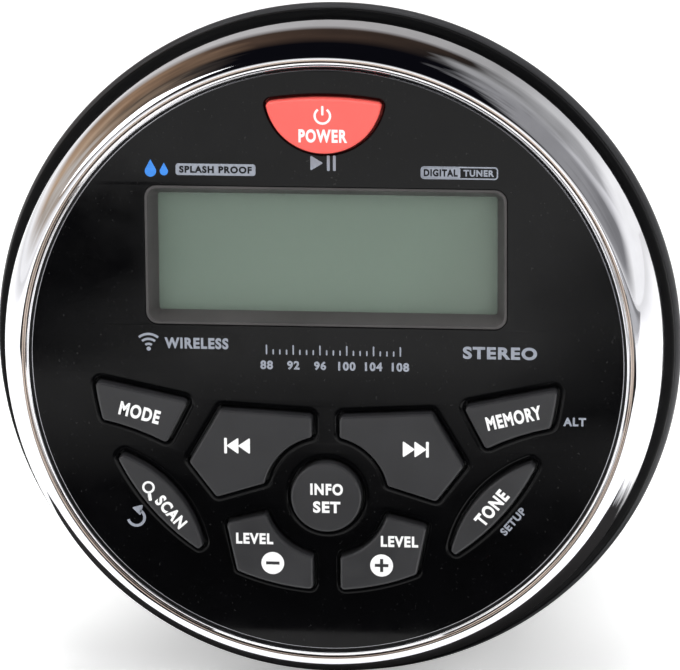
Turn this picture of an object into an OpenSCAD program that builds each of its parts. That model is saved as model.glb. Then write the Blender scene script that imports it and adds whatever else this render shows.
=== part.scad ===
// Round gauge-style marine stereo for a 76 mm panel hole.
// The face looks along -Y, up is +Z, and the barrel runs back along +Y.
// The origin is on the barrel's axis, on the front of the panel that it hangs in.
// Every length is in millimetres.

/* [Panel gasket and barrel] */
// How far the panel gasket stands outside the flange rim
gasket_edge = 0.7; // [0.6:0.1:4.8]
// Thickness of the panel gasket
gasket_t = 4; // [3:0.5:6]
// Radius that the gasket loses between its widest line and the panel
gasket_taper = 0.9; // [0.2:0.1:1.5]
// Radius that the gasket loses in the round of its front edge
gasket_lip = 0.8; // [0.4:0.1:1.2]
// Depth of that round
gasket_round = 1.2; // [0.6:0.1:2]
// Gap between the gasket's hole and the barrel
gasket_gap = 1.9; // [1.6:0.1:3]
// How far the loose gasket sits to one side of the barrel's axis
gasket_aside = 0.2; // [0:0.1:0.8]
// Outer radius of the barrel
barrel_r = 37.5; // [36.5:0.5:38]
// Wall of the barrel
barrel_wall = 2.2; // [1.6:0.2:3]
// Length of the barrel behind the panel
barrel_l = 50; // [48:1:70]
// Width of the flange rim that shows outside the bezel
rim_w = 0.8; // [0.7:0.1:1.6]
// Thickness of the flange rim
flange_rim_t = 1.6; // [1.2:0.1:2.2]
// Thickness of the flange plate inside the bezel
flange_plate_t = 2.6; // [2.6:0.1:4]
// Radius along the rim's front edge
rim_round = 0.5; // [0.2:0.1:0.8]

/* [Bezel and front case] */
// Width of the bezel from its lip to its base
bezel_w = 5.8; // [5:0.1:6]
// Wall of the bezel
bezel_wall = 1.5; // [1:0.1:2]
// Straight band at the foot of the bezel
bezel_foot = 0.8; // [0.4:0.1:2]
// Lean of the bezel's wall at its foot, in degrees
bezel_lean = 8; // [3:1:12]
// Gap between the faceplate's edge and the bezel's lip
lip_gap = 0.45; // [0.3:0.05:0.7]
// How far the lip stands in front of the face
lip_proud = 0.3; // [0.1:0.05:0.6]
// Width of the flat on the lip
lip_w = 1.1; // [0.9:0.1:1.4]
// Depth of the fine groove that splits the lip
lip_groove = 0.2; // [0.1:0.05:0.3]
// How far the front case stops behind the face
lip_seat = 0.5; // [0.4:0.1:0.9]
// Wall of the front case
case_wall = 1.6; // [1.6:0.1:1.8]
// Width of the ledge that carries the faceplate
ledge_w = 2; // [1.4:0.1:2.1]
// Thickness of that ledge
ledge_t = 1.4; // [1:0.1:2]

/* [Faceplate] */
// Radius of the faceplate
face_r = 44.25; // [44:0.05:44.5]
// Thickness of the faceplate
face_t = 2.2; // [1.8:0.1:2.6]
// Chamfer round the faceplate's edge
face_edge = 0.4; // [0.1:0.1:0.8]
// Thickness of the bonding tape under its rim
tape_t = 0.2; // [0.1:0.05:0.4]
// Radius of the posts that carry the front board
post_r = 2; // [1.7:0.1:2.2]

/* [Display] */
// Width of the window
window_w = 53.8; // [48:0.2:56]
// Height of the window
window_h = 21; // [18:0.2:22]
// Height of the window's centre above the face's centre
window_z = 16.1; // [15.6:0.1:16.6]
// Corner radius of the window
window_corner = 1.8; // [1:0.1:2.5]
// Depth of the lens behind the face
window_depth = 3; // [2.6:0.1:4]
// Width of the frame's bevel
bevel_w = 1.6; // [1:0.1:2]
// Thickness of the lens
lens_t = 1; // [0.8:0.1:1.6]
// How far the lens laps behind the frame's bevel
lens_lap = 1.2; // [0.6:0.1:1.6]
// How far the frame's flange laps behind the faceplate
frame_lap = 2; // [1.6:0.1:2.4]
// Thickness of the display glass
lcd_t = 1.8; // [1.4:0.1:2.4]
// Border of the display glass outside what shows
lcd_border = 2.7; // [2.4:0.1:3]
// Thickness of the light guide
guide_t = 1.5; // [1.2:0.1:2.5]
// Sheet thickness of the display's clip frame
clip_t = 0.5; // [0.3:0.1:0.8]
// Thickness of the clip's front lip, between lens and display
clip_lip_t = 0.3; // [0.2:0.1:0.5]

/* [Keys] */
// How far the keys stand out of the face
key_proud = 1.6; // [1.2:0.1:2.5]
// Gap all round a key
key_gap = 0.35; // [0.25:0.05:0.5]
// Travel of a key
key_travel = 0.8; // [0.5:0.1:1]
// Free play between a key's flange and the faceplate
key_play = 0.2; // [0.1:0.05:0.3]
// Thickness of a key's flange
key_flange_t = 1.2; // [0.8:0.1:1.5]
// How far a key's flange laps behind the faceplate
key_flange_w = 0.9; // [0.6:0.1:1]
// How far a key's stem is drawn in from its sides
key_stem_inset = 1; // [0.6:0.1:1.2]
// Corner radius of the keys
key_corner = 0.9; // [0.5:0.1:1.2]
// Radius of the round enter key
enter_r = 5.33; // [4.8:0.05:5.6]
// Height of the enter key's centre
enter_z = -20.3; // [-20.8:0.1:-19.8]
// Width of the face between the enter key and the keys round it
moat_w = 4.1; // [3.6:0.1:4.5]
// Half the width of the face between the left and right keys
half_split = 2.05; // [1.8:0.05:2.4]
// Width of the face between the lower keys and its edge
key_edge = 9.55; // [9.2:0.05:10]
// Width of the two leaf-shaped keys
leaf_w = 4.5; // [3.8:0.1:5]
// Radius of the power key's lower edge
power_r = 8.65; // [8:0.05:9]
// Width of the face between the power key and its edge
power_edge = 3.65; // [3.5:0.05:4]
// Thickness of the silicone mats
mat_t = 1; // [0.6:0.1:1.4]

/* [Rear cover] */
// Thickness of the rear cover's plate
sink_t = 4; // [3.5:0.5:6]
// Thickness of the rear seal
rear_seal_t = 1; // [0.6:0.1:1.5]
// Number of cooling fins
fin_count = 9; // [5:1:9]
// Thickness of a fin
fin_t = 1.6; // [1:0.1:2]
// Spacing of the fins
fin_pitch = 4.4; // [3:0.1:4.5]
// Length of the fins behind the cover
fin_l = 8; // [5:0.5:14]
// Bore radius of the power gland
power_bore_r = 3.5; // [2.5:0.1:4]
// Bore radius of the signal gland
signal_bore_r = 2.75; // [2:0.05:3.5]
// Bore radius of the aerial gland
aerial_bore_r = 1.75; // [1.25:0.05:2.5]
// Rubber round a gland's bore
gland_wall = 1.8; // [1.4:0.1:2.2]
// Length of a gland's boot behind its flange
boot_l = 7; // [4:0.5:12]
// Radius of the mounting studs
stud_r = 2.5; // [2:0.1:3]
// Free length of the studs behind their hex shoulders
stud_l = 25; // [15:1:40]
// Distance of a stud from the rear cover's edge
stud_edge = 8.2; // [7.2:0.1:10.2]

/* [Boards and amplifier] */
// Thickness of the circuit boards
board_t = 1.6; // [1:0.1:2]
// Space between the front board and the flange plate
board_back_gap = 1.2; // [1.2:0.1:3]
// Height of the main board's top
main_board_z = -8; // [-10:0.5:-6]
// Width of the tuner can
tuner_w = 21; // [12:0.5:22]
// Depth of the tuner can
tuner_d = 13; // [8:0.5:13.5]
// Height of the tuner can
tuner_h = 8; // [4:0.5:10]
// Width of the wireless module
wireless_w = 14; // [8:0.5:16]
// Depth of the wireless module
wireless_d = 10; // [6:0.5:11]
// Thickness of the wireless module
wireless_t = 2.4; // [1.6:0.2:4]
// Side of the controller chip
controller_w = 12; // [6:0.5:14]
// Thickness of the controller chip
controller_t = 1.6; // [1:0.2:3]
// Radius of the filter capacitors
capacitor_r = 5; // [3:0.25:5.5]
// Height of the filter capacitors
capacitor_h = 16; // [8:0.5:20]
// Width of the amplifier chip
amplifier_w = 29; // [20:0.5:31]
// Height of the amplifier chip
amplifier_h = 16; // [12:0.5:17]
// Thickness of the amplifier chip
amplifier_t = 4.6; // [3:0.1:5]
// Depth of the rear cover's pad that the amplifier lies on
pad_t = 4; // [3:0.5:6]

/* [Hidden] */
$fn = 72;
// Small clearance between fixed pieces that slip into each other
fit = 0.1;
// Room round a key's stem, a post or a lamp in the mats
mat_gap = 0.4;
key_grey = [0.23, 0.23, 0.23];
key_red = [0.98, 0.42, 0.4];
contact_t = 0.1;
contact_r = 1.1;
pill_gap = 0.1;

// Depths from front to back, worked out from the panel forward
y_flange = -gasket_t;
y_rim = y_flange - flange_rim_t;
y_plate = y_flange - flange_plate_t;
y_board_back = y_plate - board_back_gap;
y_board = y_board_back - board_t;
y_lcd_back = y_board - guide_t;
y_lcd = y_lcd_back - lcd_t;
y_lens_back = y_lcd - clip_lip_t;
y_lens = y_lens_back - lens_t;
y_face = y_lens - window_depth;
y_face_back = y_face + face_t;
y_ledge = y_face_back + tape_t;
y_lip = y_face - lip_proud;
y_case = y_face + lip_seat;
y_key_top = y_face - key_proud;
y_key_flange = y_face_back + key_play;
y_key_flange_back = y_key_flange + key_flange_t;
y_pill = y_board - contact_t - pill_gap - key_travel;
y_sink = barrel_l + rear_seal_t;
y_sink_back = y_sink + sink_t;
y_pad = y_sink - pad_t;

// Radii of the front ring
face_gap = 0.15;
case_in_r = face_r + face_gap;
case_r = case_in_r + case_wall;
lip_r = face_r + lip_gap;
crest_r = lip_r + lip_w;
bezel_r = lip_r + bezel_w;
flange_r = bezel_r + rim_w;
gasket_r = flange_r + gasket_edge;
key_ring_r = face_r - key_edge;
power_ring_r = face_r - power_edge;
plate_r = bezel_r - bezel_wall - 2 * fit;
barrel_in_r = barrel_r - barrel_wall;
front_seal_r = (case_in_r + case_r) / 2;
front_seal_sec = 0.5;

// Fasteners, with a little room before each tip
tip_gap = 0.5;
case_screw_r = 1.25;
case_screw_head_r = 2;
case_screw_head_t = 1.4;
case_screw_l = y_plate - y_ledge - ledge_t;
case_boss_r = 2.2;
case_screw_ring = case_in_r - ledge_w;
case_screw_count = 6;
board_screw_r = 1;
board_screw_head_r = 1.9;
board_screw_head_t = 1;
board_screw_l = 4.5;
rear_screw_r = 1.5;
rear_screw_head_r = 2.8;
rear_screw_head_t = 2;
rear_screw_l = 11;
rear_boss_r = 3.2;
rear_boss_l = 16;
rear_screw_ring = barrel_in_r - rear_boss_r + fit;

// Front board and what stands on it
board_r = case_screw_ring - case_boss_r - mat_gap;
mat_r = board_r - mat_gap;
post_edge = 6.75;
post_ring_r = face_r - post_edge;
posts = [for (a = [64, 116, -61.4, -118.6]) post_ring_r * [cos(a), sin(a)]];
view_w = window_w - 2 * bevel_w;
view_h = window_h - 2 * bevel_w;
lcd_w = view_w + 2 * lcd_border;
lcd_h = view_h + 2 * lcd_border;
clip_w = lcd_w + 2 * (clip_t + fit);
clip_h = lcd_h + 2 * (clip_t + fit);
zebra_w = 1.6;
zebra_end = 3;
side_lamp = [1.4, 3];
side_lamp_pitch = 6.5;
key_lamp = [1.6, 0.8];
key_lamp_t = 0.6;
key_lamps = [[0, -9.5], [20.3, -10.2], [20.6, -18.9], [12.5, -21.7], [29.4, -12.4], [0, -31]];
driver_w = 14;
driver_t = 1.8;

// Key outlines on the right side, as [x, z, corner radius], counter-clockwise
least_corner = 0.15;
corner_steps = 5;
moat_r = enter_r + moat_w;
enter_at = [0, enter_z];
moat_top_a = acos(half_split / moat_r);
power_end_a = asin(power_r / 2 / power_ring_r);
next_low_a = 12;
volume_high_a = -17;
volume_low_a = -67;
next_in_z = -7.85;
next_low_x = 16.5;
next_low_z = -20.6;
next_tip_x = 20.6;
next_tip_z = -15.2;
next_top_x = 15.9;
next_top_z = -7.1;
volume_top_x = 15.1;
volume_top_z = -24.6;
memory_top_x = 20.6;
memory_top_z = -6;
memory_low_x = 23.9;
memory_low_z = -12.4;
memory_sag = -0.35;
memory_low_a = -15;
memory_high_a = -5;
next_outline = concat(
    [[half_split, next_in_z, key_corner]],
    arc(enter_at, moat_r, moat_top_a, next_low_a, 8),
    [[next_low_x, next_low_z, key_corner], [next_tip_x, next_tip_z, key_corner],
     [next_top_x, next_top_z, key_corner]]);
volume_outline = concat(
    arc(enter_at, moat_r, volume_high_a, -moat_top_a, 8),
    [[half_split, -sqrt(key_ring_r * key_ring_r - half_split * half_split), key_corner]],
    inner(arc([0, 0], key_ring_r, -90 + asin(half_split / key_ring_r), volume_low_a, 5)),
    [[key_ring_r * cos(volume_low_a), key_ring_r * sin(volume_low_a), key_corner],
     [volume_top_x, volume_top_z, key_corner]]);
memory_outline = concat(
    [[memory_top_x, memory_top_z, key_corner], [memory_low_x, memory_low_z, key_corner]],
    bow([memory_low_x, memory_low_z], key_ring_r * [cos(memory_low_a), sin(memory_low_a)], memory_sag, 4),
    [[key_ring_r * cos(memory_low_a), key_ring_r * sin(memory_low_a), key_corner]],
    inner(arc([0, 0], key_ring_r, memory_low_a, memory_high_a, 3)),
    [[key_ring_r * cos(memory_high_a), key_ring_r * sin(memory_high_a), key_corner]]);
power_outline = concat(
    [[-power_ring_r * sin(2 * power_end_a), power_ring_r * cos(2 * power_end_a), key_corner]],
    inner(arc([0, power_ring_r], power_r, 180 + power_end_a, 360 - power_end_a, 16)),
    [[power_ring_r * sin(2 * power_end_a), power_ring_r * cos(2 * power_end_a), key_corner]],
    inner(arc([0, 0], power_ring_r, 90 - 2 * power_end_a, 90 + 2 * power_end_a, 6)));

// The leaf keys lie between the key ring and an inner arc, with blunted tips
leaf_a = -40.8;
leaf_half_a = 17.1;
leaf_blunt = 1.05;
leaf_fn = 288;
leaf_half_l = key_ring_r * sin(leaf_half_a);
leaf_chord = key_ring_r * cos(leaf_half_a);
leaf_sag = leaf_chord - key_ring_r + leaf_w;
leaf_arc_r = (leaf_half_l * leaf_half_l + leaf_sag * leaf_sag) / 2 / leaf_sag;
leaf_dir = [cos(leaf_a), sin(leaf_a)];

// Places where each key meets its contact on the board
next_at = [12.3, -13.2];
volume_at = [8.7, -29.4];
memory_pill_edge = 6.7;
memory_pill_z = -7.6;
memory_at = [key_ring_r - memory_pill_edge, memory_pill_z];
leaf_at = (key_ring_r - leaf_w / 2) * leaf_dir;
power_pill_drop = 4.2;
power_at = [0, power_ring_r - power_pill_drop];

// Main board and what stands on it
main_board_gap = 0.8;
main_board_back = y_pad - main_board_gap;
main_board_front = 2;
part_gap = 1;
rail_foot = 1.6;
main_board_half = sqrt(pow(barrel_in_r, 2) - pow(main_board_z - board_t, 2)) - rail_foot;
rail_t = 1.5;
rail_lap = 1.5;
parts_x = main_board_half - rail_lap - part_gap;
chip_x = -4;
header_w = 20;
header_h = 4;
header_wall = 1;
header_front = 0.5;
header_back = 8.5;
header_pins = 8;
header_pin = 0.6;
header_pitch = 2;
choke_ring_r = 4.6;
choke_wire_r = 2;
choke_reach = choke_ring_r + choke_wire_r;
capacitor_count = 2;
harness_w = 26;
harness_d = 8;
harness_h = 6;
thermal_t = 0.3;
clamp_t = 1.2;
clamp_h = 7;
amplifier_z = -2;
amplifier_screw_gap = 4;
amplifier_screw_x = amplifier_w / 2 + amplifier_screw_gap;
amplifier_mid_z = amplifier_z + amplifier_h / 2;
amplifier_screw_r = 1.5;
amplifier_screw_head_r = 2.6;
amplifier_screw_head_t = 1.8;
lead_count = 11;
lead = [0.8, 0.5];
y_chip_back = y_pad - thermal_t;
y_chip = y_chip_back - amplifier_t;
y_clamp = y_chip - clamp_t;

// Rear cover
sink_inset = 0.3;
sink_r = barrel_r - sink_inset;
fin_inset = 1.5;
fin_r = sink_r - fin_inset;
fin_z = amplifier_z;
pad_edge = 2;
gland_flange_w = 2.2;
gland_flange_t = 2;
gland_edge = 0.6;
boot_tip_t = 1;
power_gland_x = -9;
power_gland_edge = 15.7;
power_gland_at = [power_gland_x, power_gland_edge - sink_r];
signal_gland_x = 9.5;
signal_gland_edge = 15.2;
signal_gland_at = [signal_gland_x, signal_gland_edge - sink_r];
aerial_gland_z = -10;
aerial_gland_edge = 13.2;
aerial_gland_at = [sink_r - aerial_gland_edge, aerial_gland_z];
screw_room = 0.5;
stud_x = sink_r - stud_edge;
stud_z = 4;
stud_depth = 3;
stud_neck = 0.5;
stud_root_r = stud_r - stud_neck;
shoulder_r = 2 * stud_r;
shoulder_t = 3;

// Points on an arc, as outline points with no corner radius
function arc(c, r, a0, a1, n) =
    [for (i = [0:n]) let (a = a0 + (a1 - a0) * i / n) [c[0] + r * cos(a), c[1] + r * sin(a), 0]];

// A list without its first and last points
function inner(pts) = [for (i = [1:len(pts) - 2]) pts[i]];

// Points between p and q on an arc that bulges by sag to the right of the way from p to q
function bow(p, q, sag, n) =
    let (d = q - p,
         side = [d[1], -d[0]] / norm(d))
    [for (i = [1:n - 1]) let (t = i / n, b = p + d * t + side * sag * 4 * t * (1 - t)) [b[0], b[1], 0]];

// Outward normal of the edge from a to b of a counter-clockwise outline
function outward(a, b) = let (d = [b[0] - a[0], b[1] - a[1]]) [d[1], -d[0]] / norm(d);

// An outline with every edge moved out by d
function grown(pts, d) =
    let (n = len(pts))
    [for (i = [0:n - 1])
        let (p = pts[i],
             n1 = outward(pts[(i + n - 1) % n], p),
             n2 = outward(p, pts[(i + 1) % n]),
             m = d * (n1 + n2) / (1 + n1 * n2))
        [p[0] + m[0], p[1] + m[1], p[2] > 0 ? max(p[2] + d, least_corner) : 0]];

// The corner at p rounded with n steps, between its neighbours a and b
function corner(a, p, b, n) =
    let (n1 = outward(a, p),
         n2 = outward(p, b),
         turn = atan2(n1[0] * n2[1] - n1[1] * n2[0], n1 * n2),
         c = [p[0], p[1]] - p[2] * (n1 + n2) / (1 + n1 * n2),
         start = atan2(n1[1], n1[0]))
    [for (i = [0:n]) c + p[2] * [cos(start + turn * i / n), sin(start + turn * i / n)]];

// An outline moved out by d, with its corners rounded
function shaped(pts, d) =
    let (g = grown(pts, d),
         n = len(g))
    [for (i = [0:n - 1])
        let (p = g[i])
        each p[2] > 0 ? corner(g[(i + n - 1) % n], p, g[(i + 1) % n], corner_steps) : [[p[0], p[1]]]];

// A profile point from a radius and a depth, for turned()
function at(r, y) = [r, -y];

// A flat shape in x and z, made solid from y0 to y1
module slab(y0, y1) {
    translate([0, y1, 0]) rotate([90, 0, 0]) linear_extrude(y1 - y0) children();
}

// A profile turned about the barrel's axis
module turned() {
    rotate([90, 0, 0]) rotate_extrude() children();
}

// A cylinder along the barrel's axis
module rod(r, y0, y1, p = [0, 0]) {
    translate([p[0], y1, p[1]]) rotate([90, 0, 0]) cylinder(r = r, h = y1 - y0);
}

// A ring along the barrel's axis
module ring(r0, r1, y0, y1) {
    difference() {
        rod(r1, y0, y1);
        rod(r0, y0 - 1, y1 + 1);
    }
}

// A box given by two corners
module span(a, b) {
    translate(a) cube(b - a);
}

// Children repeated on a ring about the barrel's axis
module on_ring(r, count, first) {
    for (i = [0:count - 1]) {
        a = first + 360 * i / count;
        translate([r * cos(a), 0, r * sin(a)]) children();
    }
}

module on_case_screws() {
    on_ring(case_screw_ring, case_screw_count, 0) children();
}

module on_rear_screws() {
    on_ring(rear_screw_ring, 4, 45) children();
}

module on_posts() {
    for (p = posts) {
        translate([p[0], 0, p[1]]) children();
    }
}

// The right side and its mirror image
module both_sides() {
    children();
    mirror([1, 0, 0]) children();
}

// A rectangle about the window's centre, with round corners
module window_shape(w, h, r) {
    translate([0, window_z]) {
        square([w - 2 * r, h], center = true);
        square([w, h - 2 * r], center = true);
        for (sx = [-1, 1], sz = [-1, 1]) {
            translate([sx * (w / 2 - r), sz * (h / 2 - r)]) circle(r);
        }
    }
}

// The outline of one kind of key, moved out by d
module key_shape(kind, d) {
    if (kind == "enter") {
        translate(enter_at) circle(enter_r + d);
    } else if (kind == "leaf") {
        intersection() {
            circle(key_ring_r + d, $fn = leaf_fn);
            translate((leaf_chord - leaf_sag + leaf_arc_r) * leaf_dir) circle(leaf_arc_r + d, $fn = leaf_fn);
            translate(leaf_chord * leaf_dir) circle(leaf_half_l - leaf_blunt + d, $fn = leaf_fn);
        }
    } else {
        polygon(shaped(kind == "next" ? next_outline
            : kind == "volume" ? volume_outline
            : kind == "memory" ? memory_outline
            : power_outline, d));
    }
}

// All key outlines moved out by d
module key_shapes(d) {
    both_sides() {
        for (kind = ["next", "volume", "memory", "leaf"]) {
            key_shape(kind, d);
        }
    }
    key_shape("enter", d);
    key_shape("power", d);
}

module panel_gasket() {
    steps = 5;
    hole_r = barrel_r + gasket_gap;
    wide = gasket_round - gasket_t;
    color([0.2, 0.2, 0.2]) translate([gasket_aside, 0, 0]) turned() polygon(concat(
        [at(hole_r, 0), at(gasket_r - gasket_taper, 0)],
        [for (i = [0:steps]) let (a = 90 * i / steps)
            at(gasket_r - gasket_lip * (1 - cos(a)), wide - gasket_round * sin(a))],
        [at(hole_r, y_flange)]));
}

// Flange: a plate inside the bezel, and a rim with a round front edge outside it
module housing_flange() {
    steps = 4;
    color([0.08, 0.08, 0.08]) difference() {
        turned() polygon(concat(
            [at(barrel_in_r, y_plate), at(plate_r, y_plate), at(plate_r, y_rim)],
            [for (i = [0:steps]) let (a = 90 - 90 * i / steps)
                at(flange_r - rim_round * (1 - cos(a)), y_rim + rim_round * (1 - sin(a)))],
            [at(flange_r, y_flange), at(barrel_in_r, y_flange)]));
        ring(front_seal_r - front_seal_sec - fit, front_seal_r + front_seal_sec + fit,
            y_plate - 1, y_plate + 2 * front_seal_sec);
        on_case_screws() {
            rod(case_screw_r + fit, y_plate - 1, y_flange + 1);
            rod(case_screw_head_r + fit, y_flange - case_screw_head_t, y_flange + 1);
        }
    }
}

// Barrel behind the flange, with rails for the main board and bosses for the rear screws
module main_housing() {
    rail_x = main_board_half - rail_lap;
    color([0.08, 0.08, 0.08]) difference() {
        union() {
            ring(barrel_in_r, barrel_r, y_flange, barrel_l);
            intersection() {
                rod(barrel_in_r + fit, 0, barrel_l);
                union() {
                    on_rear_screws() rod(rear_boss_r, barrel_l - rear_boss_l, barrel_l);
                    both_sides() {
                        span([rail_x, main_board_front, main_board_z + fit],
                            [barrel_r, main_board_back, main_board_z + fit + rail_t]);
                        span([rail_x, main_board_front, main_board_z - board_t - fit - rail_t],
                            [barrel_r, main_board_back, main_board_z - board_t - fit]);
                    }
                }
            }
        }
        on_rear_screws() rod(rear_screw_r + fit / 2, barrel_l - rear_screw_l, barrel_l + 1);
    }
}

module front_case() {
    color([0.06, 0.06, 0.06]) difference() {
        union() {
            ring(case_in_r, case_r, y_case, y_plate);
            ring(case_in_r - ledge_w, case_r, y_ledge, y_ledge + ledge_t);
            on_case_screws() rod(case_boss_r, y_ledge, y_plate);
        }
        on_case_screws() rod(case_screw_r + fit / 2, y_plate - case_screw_l, y_plate + 1);
    }
}

// The bezel's outside: lip, crest, and a part of an ellipse that runs out into a leaning foot
module bezel_skin() {
    n = 18;
    y_foot = y_rim - bezel_foot;
    slope = tan(bezel_lean);
    deep = y_foot - y_lip;
    last = acos(deep * slope / (bezel_r - crest_r - slope * bezel_foot));
    wide = deep * slope * tan(last);
    polygon(concat(
        [at(lip_r, y_rim), at(lip_r, y_lip + lip_groove), at(lip_r + lip_groove, y_lip),
         at(lip_r + lip_w / 2, y_lip), at(lip_r + lip_w / 2, y_lip + lip_groove),
         at(lip_r + lip_w / 2 + lip_groove, y_lip + lip_groove),
         at(lip_r + lip_w / 2 + lip_groove, y_lip)],
        [for (i = [0:n]) let (a = last * i / n)
            at(crest_r + wide * sin(a), y_foot - deep * cos(a))],
        [at(bezel_r, y_rim)]));
}

// The bezel's inside: a quarter ellipse a wall away from the outside, and the seat on the front case
module bezel_hollow() {
    n = 18;
    y_foot = y_rim - bezel_foot;
    reach = bezel_r - bezel_wall - crest_r;
    top = y_foot - y_lip - bezel_wall;
    polygon(concat(
        [at(0, y_rim + 1), at(0, y_case), at(case_r + fit, y_case)],
        [for (i = [0:n]) let (a = 90 * i / n, r = crest_r + reach * sin(a))
            if (r > case_r + 2 * fit) at(r, y_foot - top * cos(a))],
        [at(bezel_r - bezel_wall, y_rim + 1)]));
}

module bezel_ring() {
    color([0.85, 0.85, 0.87]) turned() difference() {
        bezel_skin();
        bezel_hollow();
    }
}

module faceplate() {
    color([0.04, 0.04, 0.04]) difference() {
        union() {
            turned() polygon([
                at(0, y_face),
                at(face_r - face_edge, y_face),
                at(face_r, y_face + face_edge),
                at(face_r, y_face_back),
                at(0, y_face_back)]);
            on_posts() rod(post_r, y_face_back - fit, y_board);
        }
        slab(y_face - 1, y_face_back + 1) {
            window_shape(window_w + 2 * fit, window_h + 2 * fit, window_corner + fit);
            key_shapes(key_gap);
        }
        on_posts() rod(board_screw_r + fit / 2, y_board - board_screw_l, y_board + 1);
    }
}

module face_tape() {
    color([0.15, 0.15, 0.15]) ring(case_in_r - ledge_w + fit, face_r - fit, y_face_back, y_ledge);
}

module front_seal() {
    color([0.1, 0.1, 0.1]) turned()
        translate(at(front_seal_r, y_plate + front_seal_sec)) circle(front_seal_sec);
}

// A pan-head screw whose head's seat is at y_seat and whose shank runs forward
module screw_forward(r, head_r, head_t, l, y_seat) {
    slot_w = r / 2;
    rod(r, y_seat - l, y_seat);
    difference() {
        rod(head_r, y_seat, y_seat + head_t);
        span([-head_r, y_seat + head_t / 2, -slot_w / 2], [head_r, y_seat + head_t + 1, slot_w / 2]);
    }
}

module case_screws() {
    color("silver") on_case_screws() screw_forward(case_screw_r, case_screw_head_r,
        case_screw_head_t, flange_plate_t - case_screw_head_t + case_screw_l - tip_gap,
        y_flange - case_screw_head_t);
}

module display_frame() {
    color([0.28, 0.27, 0.27]) difference() {
        union() {
            slab(y_face, y_face_back + fit) window_shape(window_w, window_h, window_corner);
            slab(y_face_back, y_lens_back)
                window_shape(window_w + 2 * frame_lap, window_h + 2 * frame_lap, window_corner + frame_lap);
        }
        translate([0, y_lens, window_z]) rotate([90, 0, 0])
            linear_extrude(window_depth, scale = [window_w / view_w, window_h / view_h], slices = 1,
                $fn = 32) translate([0, -window_z]) window_shape(view_w, view_h, window_corner / 2);
        slab(y_lens, y_lens_back + 1) window_shape(view_w + 2 * (lens_lap + fit),
            view_h + 2 * (lens_lap + fit), window_corner);
    }
}

module display_lens() {
    color([0.75, 0.8, 0.78, 0.5]) slab(y_lens, y_lens_back)
        window_shape(view_w + 2 * lens_lap, view_h + 2 * lens_lap, window_corner);
}

module lcd_clip() {
    color("silver") difference() {
        slab(y_lens_back, y_board) window_shape(clip_w, clip_h, clip_t);
        slab(y_lcd, y_board + 1)
            translate([0, window_z]) square([lcd_w + 2 * fit, lcd_h + 2 * fit], center = true);
        slab(y_lens_back - 1, y_lcd + fit)
            translate([0, window_z]) square([lcd_w - 2, lcd_h - 2], center = true);
    }
}

module lcd_panel() {
    color([0.47, 0.53, 0.48]) slab(y_lcd, y_lcd_back)
        translate([0, window_z]) square([lcd_w, lcd_h], center = true);
}

module light_guide() {
    color([0.9, 0.92, 0.9]) slab(y_lcd_back, y_board) translate([0, window_z])
        square([lcd_w - 2 * (side_lamp[0] + 3 * fit), lcd_h - 2 * (zebra_w + 2 * fit)], center = true);
}

module backlight_leds() {
    color([0.95, 0.95, 0.85]) both_sides() {
        for (i = [-1:1]) {
            translate([lcd_w / 2 - side_lamp[0] / 2 - fit, 0, window_z + i * side_lamp_pitch])
                slab(y_lcd_back + fit, y_board) square(side_lamp, center = true);
        }
    }
}

module zebra_strips() {
    color([0.85, 0.6, 0.65]) slab(y_lcd_back, y_board) translate([0, window_z]) {
        for (s = [-1, 1]) {
            translate([0, s * (lcd_h - zebra_w) / 2])
                square([lcd_w - 2 * zebra_end, zebra_w], center = true);
        }
    }
}

// Openings in a mat for the keys' stems, the posts and the key lamps
module mat_openings() {
    key_shapes(mat_gap - key_stem_inset);
    for (p = posts) {
        translate(p) circle(post_r + mat_gap);
    }
    both_sides() {
        for (p = key_lamps) {
            translate(p) square([key_lamp[0] + 2 * mat_gap, key_lamp[1] + 2 * mat_gap], center = true);
        }
    }
}

module keypad_mat() {
    top = window_z - clip_h / 2 - mat_gap;
    color([0.75, 0.75, 0.75]) slab(y_board - mat_t, y_board) difference() {
        intersection() {
            circle(mat_r);
            translate([-mat_r, -2 * mat_r + top]) square(2 * mat_r);
        }
        mat_openings();
    }
}

module power_mat() {
    bottom = window_z + clip_h / 2 + mat_gap;
    color([0.75, 0.75, 0.75]) slab(y_board - mat_t, y_board) difference() {
        intersection() {
            circle(mat_r);
            translate([-mat_r, bottom]) square(2 * mat_r);
        }
        mat_openings();
    }
}

// A key: cap through the face, retaining flange behind it, and a stem with its contact pill
module key(kind, pill_at, tint) {
    color(tint) {
        slab(y_key_top, y_key_flange + fit) key_shape(kind, 0);
        slab(y_key_flange, y_key_flange_back) key_shape(kind, key_gap + key_flange_w);
        slab(y_key_flange_back - fit, y_pill - contact_t) key_shape(kind, -key_stem_inset);
        rod(contact_r, y_pill - 2 * contact_t, y_pill, pill_at);
    }
}

module power_key() {
    key("power", power_at, key_red);
}

module mode_key() {
    mirror([1, 0, 0]) key("memory", memory_at, key_grey);
}

module memory_key() {
    key("memory", memory_at, key_grey);
}

module previous_key() {
    mirror([1, 0, 0]) key("next", next_at, key_grey);
}

module next_key() {
    key("next", next_at, key_grey);
}

module scan_key() {
    mirror([1, 0, 0]) key("leaf", leaf_at, key_grey);
}

module tone_key() {
    key("leaf", leaf_at, key_grey);
}

module enter_key() {
    key("enter", enter_at, key_grey);
}

module volume_down_key() {
    mirror([1, 0, 0]) key("volume", volume_at, key_grey);
}

module volume_up_key() {
    key("volume", volume_at, key_grey);
}

module front_board() {
    color([0.05, 0.3, 0.15]) difference() {
        rod(board_r, y_board, y_board_back);
        on_posts() rod(board_screw_r + 2 * fit, y_board - 1, y_board_back + 1);
    }
}

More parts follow.
